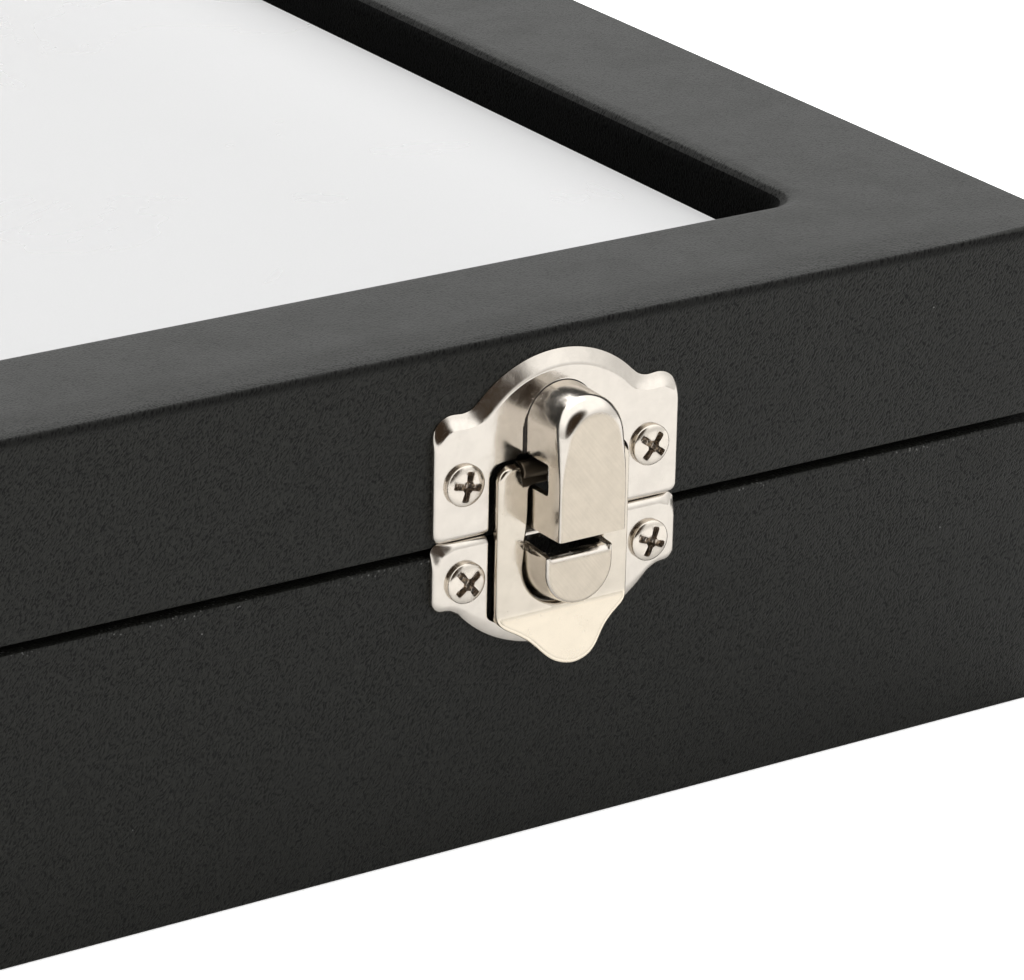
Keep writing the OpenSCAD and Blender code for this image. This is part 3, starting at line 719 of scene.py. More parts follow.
def place(ob, cx, name, mats, side=-1, zc=30.4, face=120.0, angle=32.0):
    """Puts a part made as (u, w, h) on the front (side -1) or the back (side 1) of the case, in metres."""
    me = ob.data.copy()
    slots = np.zeros(len(me.polygons), np.int32)
    me.polygons.foreach_get("material_index", slots)
    co = np.zeros(len(me.vertices) * 3)
    me.vertices.foreach_get("co", co)
    co = co.reshape(-1, 3)
    if side < 0:
        w = np.stack([cx + co[:, 0], -face - co[:, 2], zc + co[:, 1]], 1)
    else:
        w = np.stack([cx - co[:, 0], face + co[:, 2], zc + co[:, 1]], 1)
    me.vertices.foreach_set("co", (w * MM).ravel())
    me.materials.clear()
    for x in mats:
        me.materials.append(x)
    me.polygons.foreach_set("material_index", np.minimum(slots, len(mats) - 1))
    me.update()
    new = bpy.data.objects.new(name, me)
    scene.collection.objects.link(new)
    smooth(new, angle)
    return new


def stand_for(ob, node):
    """ob rides where the CAD node rides and is shown in its place."""
    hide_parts(node)
    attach(ob, frame["nodes"][node]["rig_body"])
    return ob


# ---------------------------------------------------------------- leatherette skins


def ring(inset, z, r, marks_x, marks_y, corner=9):
    """A rounded rectangle of the case's plan, moved in by inset, with points that match those of its neighbours."""
    side, end = inset if hasattr(inset, "__len__") else (inset, inset)
    a, b = 175.0 - side, 120.0 - end
    pts = []
    for sx, sy, a0 in ((1, -1, -90), (1, 1, 0), (-1, 1, 90), (-1, -1, 180)):
        cx, cy = sx * (a - r), sy * (b - r)
        pts += arc(cx, cy, r, a0, a0 + 90, corner)
        if sy == -1 and sx == 1:
            pts += [(a, t * (b - r)) for t in marks_y]
        elif sy == 1 and sx == 1:
            pts += [(-t * (a - r), b) for t in marks_x]
        elif sy == 1 and sx == -1:
            pts += [(-a, -t * (b - r)) for t in marks_y]
        else:
            pts += [(t * (a - r), -b) for t in marks_x]
    p = np.array(pts)
    return np.c_[p, np.full(len(p), float(z))]


def skin(name, profile, mats, index=None, shape=None):
    """Closed skin swept round the case. profile is a closed list of (inset, z, plan radius)."""
    marks_x = np.linspace(-1, 1, 89)[1:-1]
    marks_y = np.linspace(-1, 1, 61)[1:-1]
    rings = [ring(o, z, r, marks_x, marks_y) for o, z, r in profile]
    n, k = len(rings[0]), len(rings)
    v = np.vstack(rings)
    if shape:
        v = shape(v)
    f = [(i * n + j, i * n + (j + 1) % n, ((i + 1) % k) * n + (j + 1) % n, ((i + 1) % k) * n + j)
         for i in range(k) for j in range(n)]
    which = [index(profile[i], profile[(i + 1) % k]) if index else 0 for i in range(k) for _ in range(n)]
    return outward(make(name, v, f, MM, mats, which, angle=38))


RAIL_FRONT, RAIL_SIDE, GLASS_TOP, REBATE = 18.3, 19.8, 44.2, 13.3


def both_insets(o):
    """Inset from the sides and from the front and back: the side rails are the wider ones."""
    extra = (RAIL_SIDE - RAIL_FRONT) * min(1.0, max(0.0, (o - 3.0) / 9.0))
    return (o + extra, o)


def lid_profile():
    # inset grows inwards, so the outer edge's arc runs from 180 to 90 degrees
    p = [(REBATE, 30.7)]
    p += arc(0.3, 31.0, 0.3, 270, 180, 5)
    p += [(0.0, 34.0), (0.0, 38.0), (0.0, 42.0), (0.0, 46.0), (0.0, 48.5)]
    p += arc(0.45, 49.55, 0.45, 180, 90, 7)
    p += [(0.8, 50.0), (1.2, 50.0), (1.7, 50.0), (2.3, 50.0), (3.0, 50.0), (3.8, 50.0), (4.8, 50.0), (6.0, 50.0),
          (8.5, 50.0), (11.5, 50.0), (14.0, 50.0)]
    p += arc(16.1, 47.8, 2.2, 90, 0, 14)
    p += [(RAIL_FRONT, 46.0), (RAIL_FRONT, GLASS_TOP), (REBATE, GLASS_TOP), (REBATE, 44.8), (17.7, 44.8)]
    p += arc(16.2, 47.9, 1.5, 0, 90, 6)
    p += [(0.9, 49.4), (0.6, 49.1), (0.6, 31.3), (REBATE, 31.3)]
    out = []
    for o, z in p:
        r = 1.5 + 2.5 * min(1.0, max(0.0, o - 1.5) / 16.0)
        if z < 45 and 12 < o < 14:
            r = 0.3
        out.append((both_insets(o), z, r))
    return out


def sagged(v):
    """The wrap sinks a little along the front and the back top edge, less towards the corners."""
    y, x, z = np.abs(v[:, 1]), np.abs(v[:, 0]), v[:, 2]
    amount = 0.35 * smoothstep(y, 115.0, 119.6) * (1 - smoothstep(x, 158.0, 173.5)) * smoothstep(z, 49.42, 49.56)
    v = v.copy()
    v[:, 2] -= amount
    return v


def reveal_painted_shade_slot(a, b):
    """Faces of the inner edge lie in the frame's own shade; they get the near black copy of the leather, painted shade.
    """
    inner = min(a[0][1], b[0][1]) > 16.0 and min(a[1], b[1]) >= 44.0
    return 1 if inner and max(a[1], b[1]) < 49.35 else 0


def base_profile():
    p = [(15.0, 0.5), (2.5, 0.5), (2.1, 0.3), (1.6, 0.07), (0.9, 0.02)]
    p += arc(0.15, 0.17, 0.15, 270, 180, 6)
    p += [(0.0, 6.0), (0.0, 12.0), (0.0, 18.0), (0.0, 24.0)]
    p += arc(0.25, 29.6, 0.25, 180, 90, 5)
    p += [(1.0, 29.92), (2.0, 30.05), (3.2, 30.1), (7.0, 30.1)]
    p += arc(10.0, 29.5, 0.6, 90, 0, 5)
    p += [(0.6, 29.5), (0.6, 1.1), (15.0, 1.1)]
    return [((o, o), z, 1.5 if o < 3 else (1.5 + 2.0 * o / 15 if z > 5 and o < 10.5 else (0.3 if z > 5 else 3.0))) for o, z in p]


lid_skin = stand_for(skin("lid_skin", lid_profile(), [M["leatherette"], M["leatherette_reveal_painted_shade"]], reveal_painted_shade_slot, sagged),
                     "lid_leather_wrap")
base_skin = stand_for(skin("base_skin", base_profile(), [M["leatherette_base"]]), "base_leather_wrap")

# ---------------------------------------------------------------- latches, made as (u, w, h) about (0, seam, front face)

PLATE_HW, PLATE_T, OPEN_HW, BOSS_HW, BOSS_LOW = 13.3, 0.9, 7.6, 3.7, 1.2
BOSS_OUT, LUG_OUT, WALL_T, SCREW_X = 6.6, 4.7, 0.7, 10.05
LID_SCREWS = (-10.28, 9.88)

lid_side = (arc(PLATE_HW - 0.9, 1.78, 0.9, -90, 0, 10) + arc(PLATE_HW - 2.2, 10.7, 2.2, 0, 95, 20)
            + [(10.1, 12.82), (9.8, 12.85), (9.5, 12.91), (9.25, 13.0), (9.0, 13.12), (8.78, 13.27), (8.6, 13.42)]
            + arc(0, 5.7, 11.5, 44.5, 90, 44))
lid_outline = mirrored(lid_side)
base_side = (arc(PLATE_HW - 0.9, -0.14, 0.9, 90, 0, 10) + arc(PLATE_HW - 1.2, -4.75, 1.2, 0, -90, 12)
             + [(11.8, -5.97), (11.5, -6.02), (11.2, -6.11), (10.95, -6.25)] + arc(0, 2.8, 14, -42, -90, 44))
base_outline = mirrored(base_side)
FLAP_HW, FLAP_FRONT, FLAP_BEND, PIVOT_UP, PIVOT_OUT = 7.15, 1.93, -7.2, 6.5, 0.98
flap_side = (arc(FLAP_HW - 1.5, 5.92, 1.5, 90, 0, 12)
             + [(7.15, -6.5), (7.13, -6.95), (7.07, -7.35), (6.97, -7.65), (6.82, -7.9), (6.63, -8.1), (6.4, -8.28),
                (6.1, -8.46), (5.78, -8.64), (5.45, -8.82), (5.12, -9.02), (4.82, -9.22), (4.53, -9.42), (4.26, -9.62),
                (4.0, -9.84), (3.73, -10.1), (3.46, -10.39), (3.18, -10.7), (2.9, -10.99), (2.61, -11.26), (2.3, -11.5),
                (1.98, -11.7), (1.64, -11.86), (1.28, -11.99), (0.9, -12.09), (0.45, -12.17), (0.0, -12.2)])
flap_outline = mirrored(flap_side)


def rounded_corner(cx, cy, r, a0, a1, n=8):
    return arc(cx, cy, r, a0, a1, n)


def dome(t, k=0.55):
    """Height share of a pressed rim: steep at the edge, with a slight crease where the flat begins."""
    t = np.clip(t, 0, 1)
    return k * np.sqrt(1 - (1 - t) ** 2) + (1 - k) * t


def pressed(t, wide, low):
    """Front height of a plate over its rim: a narrow rolled edge, or a straight bevel with a crease where it is wide."""
    edge = low + (0.14 - low) * wide
    return edge + (PLATE_T - edge) * ((1 - wide) * dome(t, 0.8) + wide * np.clip(t, 0, 1))


RIM_LEVELS = (0.02, 0.06, 0.13, 0.22, 0.34, 0.48, 0.64, 0.82, 1.0, 1.12)


def screw_hole(x, w, r=1.1):
    return np.array(arc(x, w, r, 0, 360, 32)[:-1])


def with_holes(domain, holes):
    def inside(p):
        keep = sdf(p, domain) > 0
        for h in holes:
            keep &= sdf(p, h) < 0
        return keep
    return inside


boss_long = np.array([(-BOSS_HW, -5.0), (BOSS_HW, -5.0)] + arc(0, 10.7, BOSS_HW, 0, 180, 60))
boss_in_long = np.array([(-3.0, -5.0), (3.0, -5.0)] + arc(0, 10.7, 3.0, 0, 180, 48))


def boss_radius(w):
    return 0.34 + 1.5 * smoothstep(w, 5.6, 14.4)


def boss_height(p, base):
    """Front height of the boss above the plate's own height, with root fillet, wall and rolled front edge."""
    s = sdf(p, boss_long)
    root = 0.1
    r = boss_radius(p[:, 1])
    out = base.copy()
    k = (s > -root) & (s <= 0)
    out[k] += root - np.sqrt(np.maximum(0, root**2 - (s[k] + root) ** 2))
    k = (s > 0) & (s <= 0.1)
    out[k] = base[k] + root + (BOSS_OUT - r[k] - base[k] - root) * s[k] / 0.1
    k = s > 0.1
    t = np.clip((s[k] - 0.1) / r[k], 0, 1)
    out[k] = BOSS_OUT - r[k] + r[k] * np.sqrt(1 - (1 - t) ** 2)
    return out


def lid_plate():
    domain = ([(OPEN_HW, 0.88)] + lid_side + [(-x, y) for x, y in reversed(lid_side)] + [(-OPEN_HW, 0.88)]
              + arc(-OPEN_HW + 1.6, 7.7 - 1.6, 1.6, 180, 90, 12) + [(-BOSS_HW, 7.7), (-BOSS_HW, BOSS_LOW), (BOSS_HW, BOSS_LOW), (BOSS_HW, 7.7)]
              + arc(OPEN_HW - 1.6, 7.7 - 1.6, 1.6, 90, 0, 12))
    # drop points that repeat
    clean = [domain[0]]
    for q in domain[1:]:
        if math.dist(q, clean[-1]) > 1e-4:
            clean.append(q)
    domain = dense(clean, 0.3)
    holes = [screw_hole(x, 6.3) for x in LID_SCREWS]

    def wide(p):
        return smoothstep(p[:, 1], 9.9, 12.5)

    def rim(p):
        return sdf(p, lid_outline) / (0.6 + 0.85 * wide(p))

    def front(p):
        return boss_height(p, pressed(rim(p), wide(p), 0.42))

    box = (-14, 14, -0.5, 18)
    loops = [domain, *holes]
    loops += contours(rim, box, 0.1, RIM_LEVELS, 0.32)
    near = (-6, 6, -6, 16.5)
    loops += contours(lambda p: sdf(p, boss_long), near, 0.08, (-0.5, -0.36, -0.22, -0.1, -0.03, 0.0, 0.1), 0.24)
    loops += contours(lambda p: (sdf(p, boss_long) - 0.1) / boss_radius(p[:, 1]), near, 0.08,
                      (0.03, 0.09, 0.18, 0.3, 0.45, 0.62, 0.8, 1.0, 1.15), 0.24)
    inside = with_holes(domain, holes)
    flat = lambda p: (sdf(p, domain) > 0.3) & (rim(p) > 1.3) & (np.abs(sdf(p, boss_long) + 1.2) > 1.6) & inside(p)
    plate = relief("lid_plate", loops, inside, front, lambda p: np.zeros(len(p)), grid_points(box, 1.1, flat))
    # hollow behind the boss
    cavity_domain = dense([(-3.0, -1.0), (3.0, -1.0)] + arc(0, 10.7, 3.0, 0, 180, 48), 0.5)
    inner = lambda p: sdf(p, boss_in_long)

    def cavity_front(p):
        r = np.maximum(0.2, boss_radius(p[:, 1]) - 0.65)
        t = np.clip(inner(p) / r, 0, 1)
        return BOSS_OUT - WALL_T - r + r * np.sqrt(1 - (1 - t) ** 2)

    rings = contours(lambda p: inner(p) / np.maximum(0.2, boss_radius(p[:, 1]) - 0.65), near, 0.08, (0.08, 0.3, 0.6, 1.0), 0.4)
    hollow = relief("hollow", [cavity_domain, *rings], lambda p: sdf(p, cavity_domain) > 0, cavity_front,
                    lambda p: np.full(len(p), -1.0))
    cut(plate, hollow)
    cut(plate, block(-4.7, 4.7, 0.0, 7.7, -1.0, 0.2))
    notch = block(-4.7, 4.7, 5.05, 8.1, -1.0, 4.6)
    bev = notch.modifiers.new("b", "BEVEL")
    bev.width = 0.35
    bev.segments = 4
    applied(notch)
    cut(plate, notch)
    # the foot of the boss gets painted shade in its crease, widest on the left
    me = plate.data
    mid = np.zeros(len(me.polygons) * 3)
    me.polygons.foreach_get("center", mid)
    mid = mid.reshape(-1, 3)
    s = sdf(mid[:, :2], boss_long)
    broad = np.where(mid[:, 0] < 0, 0.40 - 0.28 * smoothstep(mid[:, 1], 9.6, 12.4), 0.1)
    painted_shade_foot = (s < 0.1) & (s > -broad) & (mid[:, 2] > 0.3) & (mid[:, 2] < PLATE_T + 0.22) & (mid[:, 1] > 7.6)
    me.polygons.foreach_set("material_index", painted_shade_foot.astype(np.int32))
    return plate


lug_long = np.array([(BOSS_HW, 5.0), (-BOSS_HW, 5.0)] + arc(0, -2.5, BOSS_HW, 180, 360, 60))
lug_in_long = np.array([(3.0, 5.0), (-3.0, 5.0)] + arc(0, -2.5, 3.0, 180, 360, 48))


def lug_height(p, base):
    s = sdf(p, lug_long)
    root, r = 0.84, 0.42
    out = base.copy()
    k = (s > -root) & (s <= 0.1)
    out[k] += (LUG_OUT - r - base[k]) * ((s[k] + root) / (root + 0.1)) ** 1.7
    k = s > 0.1
    t = np.clip((s[k] - 0.1) / r, 0, 1)
    out[k] = LUG_OUT - r + r * np.sqrt(1 - (1 - t) ** 2)
    # the front face also rolls over towards the open top
    d = np.clip((-1.0 - p[:, 1]) / 0.9, 0, 1)
    drop = 0.75 * (1 - np.sqrt(1 - (1 - d) ** 2))
    return np.where(s > 0.1, out - drop * smoothstep(s, 0.1, 0.8), out)


def base_plate():
    half = [(OPEN_HW, 0.76)] + base_side
    left = [(-x, y) for x, y in reversed(base_side)] + [(-OPEN_HW, 0.76)]
    domain = half + left + arc(-OPEN_HW + 0.9, -7.8 + 0.9, 0.9, 180, 270, 6) + [(-5.2, -7.8), (-5.2, 0.76),
        (5.2, 0.76), (5.2, -7.8)] + arc(OPEN_HW - 0.9, -7.8 + 0.9, 0.9, 270, 360, 6)
    clean = [domain[0]]
    for q in domain[1:]:
        if math.dist(q, clean[-1]) > 1e-4:
            clean.append(q)
    domain = dense(clean[::-1], 0.3)
    holes = [screw_hole(SCREW_X, -3.2), screw_hole(-SCREW_X, -3.2)]

    def wide(p):
        return smoothstep(p[:, 1], -1.7, 0.5) * smoothstep(np.abs(p[:, 0]), 11.0, 13.1)

    def rim(p):
        return sdf(p, base_outline) / (0.75 + 0.6 * smoothstep(-p[:, 1], 5.5, 8.5) + 0.6 * wide(p))

    def front(p):
        base = pressed(rim(p), wide(p), 0.34)
        return np.where(p[:, 1] > -0.97, base, lug_height(p, base))

    box = (-14, 14, -12, 1.5)
    near = (-6, 6, -8.5, 6)
    loops = [domain, *holes]
    loops += contours(rim, box, 0.1, RIM_LEVELS, 0.32)
    long_sdf = lambda p: sdf(p, lug_long)
    loops += contours(long_sdf, near, 0.08, (-1.1, -0.84, -0.74, -0.6, -0.42, -0.24, -0.08, 0.02, 0.1), 0.24)
    loops += contours(lambda p: (long_sdf(p) - 0.1) / 0.42, near, 0.08, (0.03, 0.09, 0.18, 0.3, 0.45, 0.62, 0.8, 1.0, 1.15), 0.24)
    inside = with_holes(domain, holes)
    rows = [(x, w) for w in (-0.95, -1.0, -1.08, -1.16, -1.28, -1.42, -1.58, -1.76, -1.9, -2.1) for x in np.arange(-3.45, 3.5, 0.23)]
    flat = lambda p: (sdf(p, domain) > 0.3) & (rim(p) > 1.3) & (np.abs(long_sdf(p)) > 0.5) & inside(p)
    extra = np.vstack([grid_points(box, 1.1, flat), np.array(rows)])
    plate = relief("base_plate", loops, inside, front, lambda p: np.zeros(len(p)), extra)
    cavity_domain = dense([(3.0, -0.45), (-3.0, -0.45)] + arc(0, -2.5, 3.0, 180, 360, 48), 0.5)
    inner = lambda p: sdf(p, lug_in_long)

    def cavity_front(p):
        r = 0.4
        t = np.clip(inner(p) / r, 0, 1)
        d = np.clip((-1.0 - p[:, 1]) / 0.9, 0, 1)
        drop = 0.55 * (1 - np.sqrt(1 - (1 - d) ** 2))
        return LUG_OUT - WALL_T - r + r * np.sqrt(1 - (1 - t) ** 2) - drop * (p[:, 1] < 1)

    rings = contours(lambda p: inner(p) / 0.4, near, 0.08, (0.08, 0.3, 0.6, 1.0), 0.4)
    hollow = relief("hollow", [cavity_domain, *rings], lambda p: sdf(p, cavity_domain) > 0, cavity_front,
                    lambda p: np.full(len(p), -1.0))
    cut(plate, hollow)
    cut(plate, block(-20, 20, -0.3, 3.0, -1.0, 0.1))
    me = plate.data
    mid = np.zeros(len(me.polygons) * 3)
    me.polygons.foreach_get("center", mid)
    mid = mid.reshape(-1, 3)
    # the foot of the lug gets the same painted shade in its crease
    s = sdf(mid[:, :2], lug_long)
    painted_shade_foot = (s < -0.78) & (s > -1.5) & (mid[:, 2] > 0.3) & (mid[:, 1] < -0.97)
    me.polygons.foreach_set("material_index", painted_shade_foot.astype(np.int32))
    return plate


def flap():
    zb = PIVOT_UP - 1.2
    window = (arc(0, -2.55, 4.45, 180, 360, 56) + [(4.22, -0.5), (4.06, 1.0), (3.98, 2.6)]
              + arc(3.95 - 0.5, zb - 0.5, 0.5, 0, 90, 5) + arc(-3.95 + 0.5, zb - 0.5, 0.5, 90, 180, 5)
              + [(-3.98, 2.6), (-4.06, 1.0), (-4.22, -0.5)])
    window = np.array(window)
    outline = dense(flap_outline, 0.3)
    hole = dense(window, 0.3)

    def flare(w):
        """The tip leaves the leaf's plane from a soft bend."""
        d = FLAP_BEND - w
        return 0.45 * np.where(d > 0.35, d, np.where(d > -0.35, (d + 0.35) ** 2 / 1.4, 0.0))

    def corner_share(p):
        """1 at the leaf's upper corners, which stay nearly straight, 0 where the top is bent back between them."""
        return smoothstep(np.abs(p[:, 0]), 4.45, 4.95)

    def bow(p):
        w = p[:, 1]
        bent = np.interp(w, (5.3, 5.85, 7.42), (FLAP_FRONT, 1.68, 0.70))
        # the corners stay inside the arc they swing through in front of the wrap
        straight = np.minimum(FLAP_FRONT, PIVOT_OUT + (0.95 - 0.966 * (w - PIVOT_UP)) / 0.259)
        return bent + (straight - bent) * corner_share(p) + flare(w)

    def under(p):
        w = p[:, 1]
        bent = np.interp(w, (5.1, 5.65, 6.9, 7.25, 7.42), (1.03, 0.91, 0.22, 0.60, 0.66))
        straight = np.interp(w, (6.3, 7.42), (1.03, 0.68))
        return bent + (straight - bent) * corner_share(p) + flare(w)

    outer = lambda p: sdf(p, flap_outline)
    inner = lambda p: -sdf(p, window)

    def back(p):
        return under(p)

    def front(p):
        a = np.clip(outer(p) / 0.45, 0, 1)
        b = np.clip(inner(p) / 0.3, 0, 1)
        h = bow(p) - 0.3 * (1 - np.sqrt(1 - (1 - a) ** 2)) - 0.18 * (1 - np.sqrt(1 - (1 - b) ** 2))
        return np.maximum(h, back(p) + 0.03)

    box = (-8, 8, -13, 8.3)
    loops = [outline, hole]
    loops += contours(outer, box, 0.08, (0.015, 0.05, 0.11, 0.19, 0.29, 0.38, 0.45, 0.55), 0.3)
    loops += contours(inner, box, 0.08, (0.015, 0.05, 0.11, 0.18, 0.24, 0.3), 0.3)
    keep = lambda p: (outer(p) > 0) & (inner(p) > 0)
    rows = np.array([(x, w) for w in (5.1, 5.3, 5.55, 5.85, 6.4, 7.0, -6.85, -7.0, -7.15, -7.3, -7.45, -7.6)
                     for x in np.arange(-6.9, 7.0, 0.4)])
    rows = rows[(outer(rows) > 0.65) & (inner(rows) > 0.4)]
    more = grid_points(box, 0.55, lambda p: (outer(p) > 0.75) & (inner(p) > 0.5))
    ob = relief("flap", loops, keep, front, back, np.vstack([more, rows]))
    # the bar it turns on, rolled round behind the bent top
    t = np.radians(np.linspace(0, 360, 33)[:-1])
    rows = [(-4.4, 0.80), (-4.31, 0.88), (4.31, 0.88), (4.4, 0.80)]
    v = [(x, PIVOT_UP + r * math.cos(a), PIVOT_OUT + r * math.sin(a)) for x, r in rows for a in t]
    n = len(t)
    f = [(i * n + j, (i + 1) * n + j, (i + 1) * n + (j + 1) % n, i * n + (j + 1) % n) for i in range(len(rows) - 1) for j in range(n)]
    f += [tuple(range(n)), tuple(reversed(range((len(rows) - 1) * n, len(rows) * n)))]
    bar = outward(make("bar", v, f, 1.0))
    cut(ob, bar, "UNION")
    return ob


def cross_loop(length, half, neck, turn):
    """Outline of a cross recess, a little wider at its ends."""
    q = []
    for k in range(4):
        a = math.radians(90 * k + turn)
        c, s = math.cos(a), math.sin(a)
        for x, y in ((neck, -half * 0.86), (length * 0.75, -half), (length - 0.08, -half), (length, -half + 0.1),
                     (length, half - 0.1), (length - 0.08, half), (length * 0.75, half), (neck, half * 0.86)):
            q.append((c * x - s * y, s * x + c * y))
    return np.array(q)


def screw(radius, height, shank, length, turn):
    """Raised cross-head screw as (u, w, h), seated on h = 0, with a threaded shank behind it."""
    n = 64
    rim_n = np.array(arc(0, 0, radius, 0, 360, n)[:-1])
    reach_r = radius * 0.73
    cross = cross_loop(reach_r, radius * 0.165, radius * 0.26, turn)
    wall = 0.10

    def front(p):
        rho = np.clip(np.hypot(p[:, 0], p[:, 1]) / radius, 0, 1)
        h = height * (0.42 + 0.58 * np.sqrt(np.maximum(0, 1 - rho**2.6)))
        s = sdf(p, cross)
        reach = np.clip(np.hypot(p[:, 0], p[:, 1]) / reach_r, 0, 1)
        deep = height * (1.25 - 0.75 * reach)
        lip = 0.035 * np.exp(-((np.minimum(s, 0) / 0.07) ** 2)) * (s < 0)
        return h + lip - deep * np.clip((s + 0.01) / wall, 0, 1) * (s > -0.01)

    loops = [rim_n]
    for k in (0.985, 0.95, 0.9, 0.82, 0.72, 0.6):
        loops.append(np.array(arc(0, 0, radius * k, 0, 360, n)[:-1]) if k > 0.65 else even(np.array(arc(0, 0, radius * k, 0, 360, n)[:-1]), 0.2))
    box = (-radius, radius, -radius, radius)
    loops += contours(lambda p: sdf(p, cross), box, 0.04, (-0.14, -0.06, -0.01, wall, wall + 0.05), 0.12)
    v, f = triangles(loops, lambda p: np.hypot(p[:, 0], p[:, 1]) < radius)
    top = np.c_[v, front(v)]
    rho = np.hypot(v[:, 0], v[:, 1])
    edge = np.where(rho > radius * 0.9985)[0]
    edge = edge[np.argsort(np.arctan2(v[edge, 1], v[edge, 0]))]
    m = len(edge)
    ang = np.arctan2(v[edge, 1], v[edge, 0])
    verts = [tuple(x) for x in top]
    faces = [tuple(t) for t in f]
    inside = sdf(v[f].mean(1), cross) > 0.02

    def add(r, h):
        k = len(verts)
        rr = np.broadcast_to(r, m)
        hh = np.broadcast_to(h, m)
        verts.extend(zip(rr * np.cos(ang), rr * np.sin(ang), hh))
        return list(range(k, k + m))

    rows = [list(edge), add(radius, 0.03), add(radius - 0.03, 0.0), add(shank + 0.25, 0.0), add(shank * 0.86, -0.2)]
    steps = 44
    pitch = 1.15
    for i in range(steps):
        z = 0.3 + (length - 0.3 - 1.9) * i / (steps - 1)
        phase = (z / pitch - ang / (2 * math.pi)) % 1.0
        tooth = np.clip(1 - np.abs(phase - 0.5) * 4.2, 0, 1)
        grow = min(1.0, i / 4.0)
        rows.append(add(shank * (0.74 + 0.25 * tooth * grow + 0.10 * (1 - grow)), -z))
    for i, k in enumerate((0.62, 0.44, 0.24, 0.06)):
        rows.append(add(shank * k, -(length - 1.9) - (i + 1) * 0.45))
    for a, b in zip(rows, rows[1:]):
        faces += [(a[(j + 1) % m], a[j], b[j], b[(j + 1) % m]) for j in range(m)]
    faces.append(tuple(rows[-1][::-1]))
    slots = np.zeros(len(faces), np.int32)
    slots[: len(inside)] = inside
    return outward(make("screw", verts, faces, 1.0, (M["screw_nickel"], M["screw_recess"]), slots))


def join(name, parts):
    """One object from several that are already in place."""
    bm = bmesh.new()
    mats = []
    for o in parts:
        k = len(bm.faces)
        bm.from_mesh(o.data)
    mats = list(parts[0].data.materials)
    me = bpy.data.meshes.new(name)
    bm.to_mesh(me)
    bm.free()
    for x in mats:
        me.materials.append(x)
    for o in parts:
        remove(o)
    ob = bpy.data.objects.new(name, me)
    scene.collection.objects.link(ob)
    smooth(ob, 32)
    return ob


plate_lid = lid_plate()
plate_base = base_plate()
flap_mesh = flap()
TURNS = {"left": ((70, 12), (25, 50)), "right": ((12, 38), (52, 22))}
for side, cx in (("left", -116.0), ("right", 116.0)):
    stand_for(place(plate_lid, cx, f"{side}_latch_lid_plate", [M["nickel_plate"], M["nickel_crease_painted_shade"]]), f"latch_{side}_lid_plate")
    stand_for(place(plate_base, cx, f"{side}_latch_base_plate", [M["nickel_lug"], M["nickel_crease_painted_shade"]]), f"latch_{side}_base_plate")
    stand_for(place(flap_mesh, cx, f"{side}_latch_flap", [M["nickel_flap"]]), f"latch_{side}_flap")
    for part, w, turns in (("lid", 6.3, TURNS[side][0]), ("base", -3.2, TURNS[side][1])):
        pair = []
        for x, a in zip(LID_SCREWS if part == "lid" else (-SCREW_X, SCREW_X), turns):
            s = screw(2.0, 0.75, 1.0, 8.9, -a)
            pair.append(place(s, cx + x, "s", [M["screw_nickel"], M["screw_recess"]], zc=30.4 + w, face=120.9))
            remove(s)
        stand_for(join(f"{side}_latch_{part}_screws", pair), f"latch_{side}_{part}_screws")
for o in (plate_lid, plate_base, flap_mesh):
    remove(o)

# ---------------------------------------------------------------- hinges, pins and springs


def refined(node, name, mat, width, segments=3, angle=30.0):
    """A piece from the CAD node's own shape with its edges eased."""
    src = frame["nodes"][node]
    me = src.data.copy()
    me.name = name
    me.materials.clear()
    me.materials.append(mat)
    ob = bpy.data.objects.new(name, me)
    scene.collection.objects.link(ob)
    bm = bmesh.new()
    bm.from_mesh(me)
    bmesh.ops.remove_doubles(bm, verts=bm.verts, dist=2e-6)
    bmesh.ops.dissolve_limit(bm, angle_limit=math.radians(1.0), verts=bm.verts, edges=bm.edges)
    bm.to_mesh(me)
    bm.free()
    mod = ob.modifiers.new("edge", "BEVEL")
    mod.width = width * MM
    mod.segments = segments
    mod.limit_method = "ANGLE"
    mod.angle_limit = math.radians(angle)
    mod.use_clamp_overlap = True
    applied(ob)
    smooth(ob, 40)
    return ob


for side, cx in (("left", -110.0), ("right", 110.0)):
    for node in (f"hinge_{side}_base_leaf", f"hinge_{side}_lid_leaf"):
        stand_for(refined(node, node + "_plate", M["hinge_steel"], 0.16), node)
    stand_for(refined(f"hinge_{side}_pin", f"{side}_hinge_pin", M["hinge_steel"], 0.2), f"hinge_{side}_pin")
    stand_for(refined(f"latch_{side}_spring", f"{side}_latch_spring", M["spring_steel"], 0.06), f"latch_{side}_spring")
    for part, w, turns in (("lid", 6.8, (15, 60) if side == "left" else (40, 5)), ("base", -6.8, (75, 30) if side == "left" else (20, 55))):
        pair = []
        for x, a in zip((-8.5, 8.5), turns):
            s = screw(1.9, 0.6, 0.9, 8.9, -a)
            pair.append(place(s, cx + x, "s", [M["screw_nickel"], M["screw_recess"]], side=1, zc=30.4 + w, face=120.9))
            remove(s)
        stand_for(join(f"{side}_hinge_{part}_screws", pair), f"hinge_{side}_{part}_screws")

# ---------------------------------------------------------------- glass


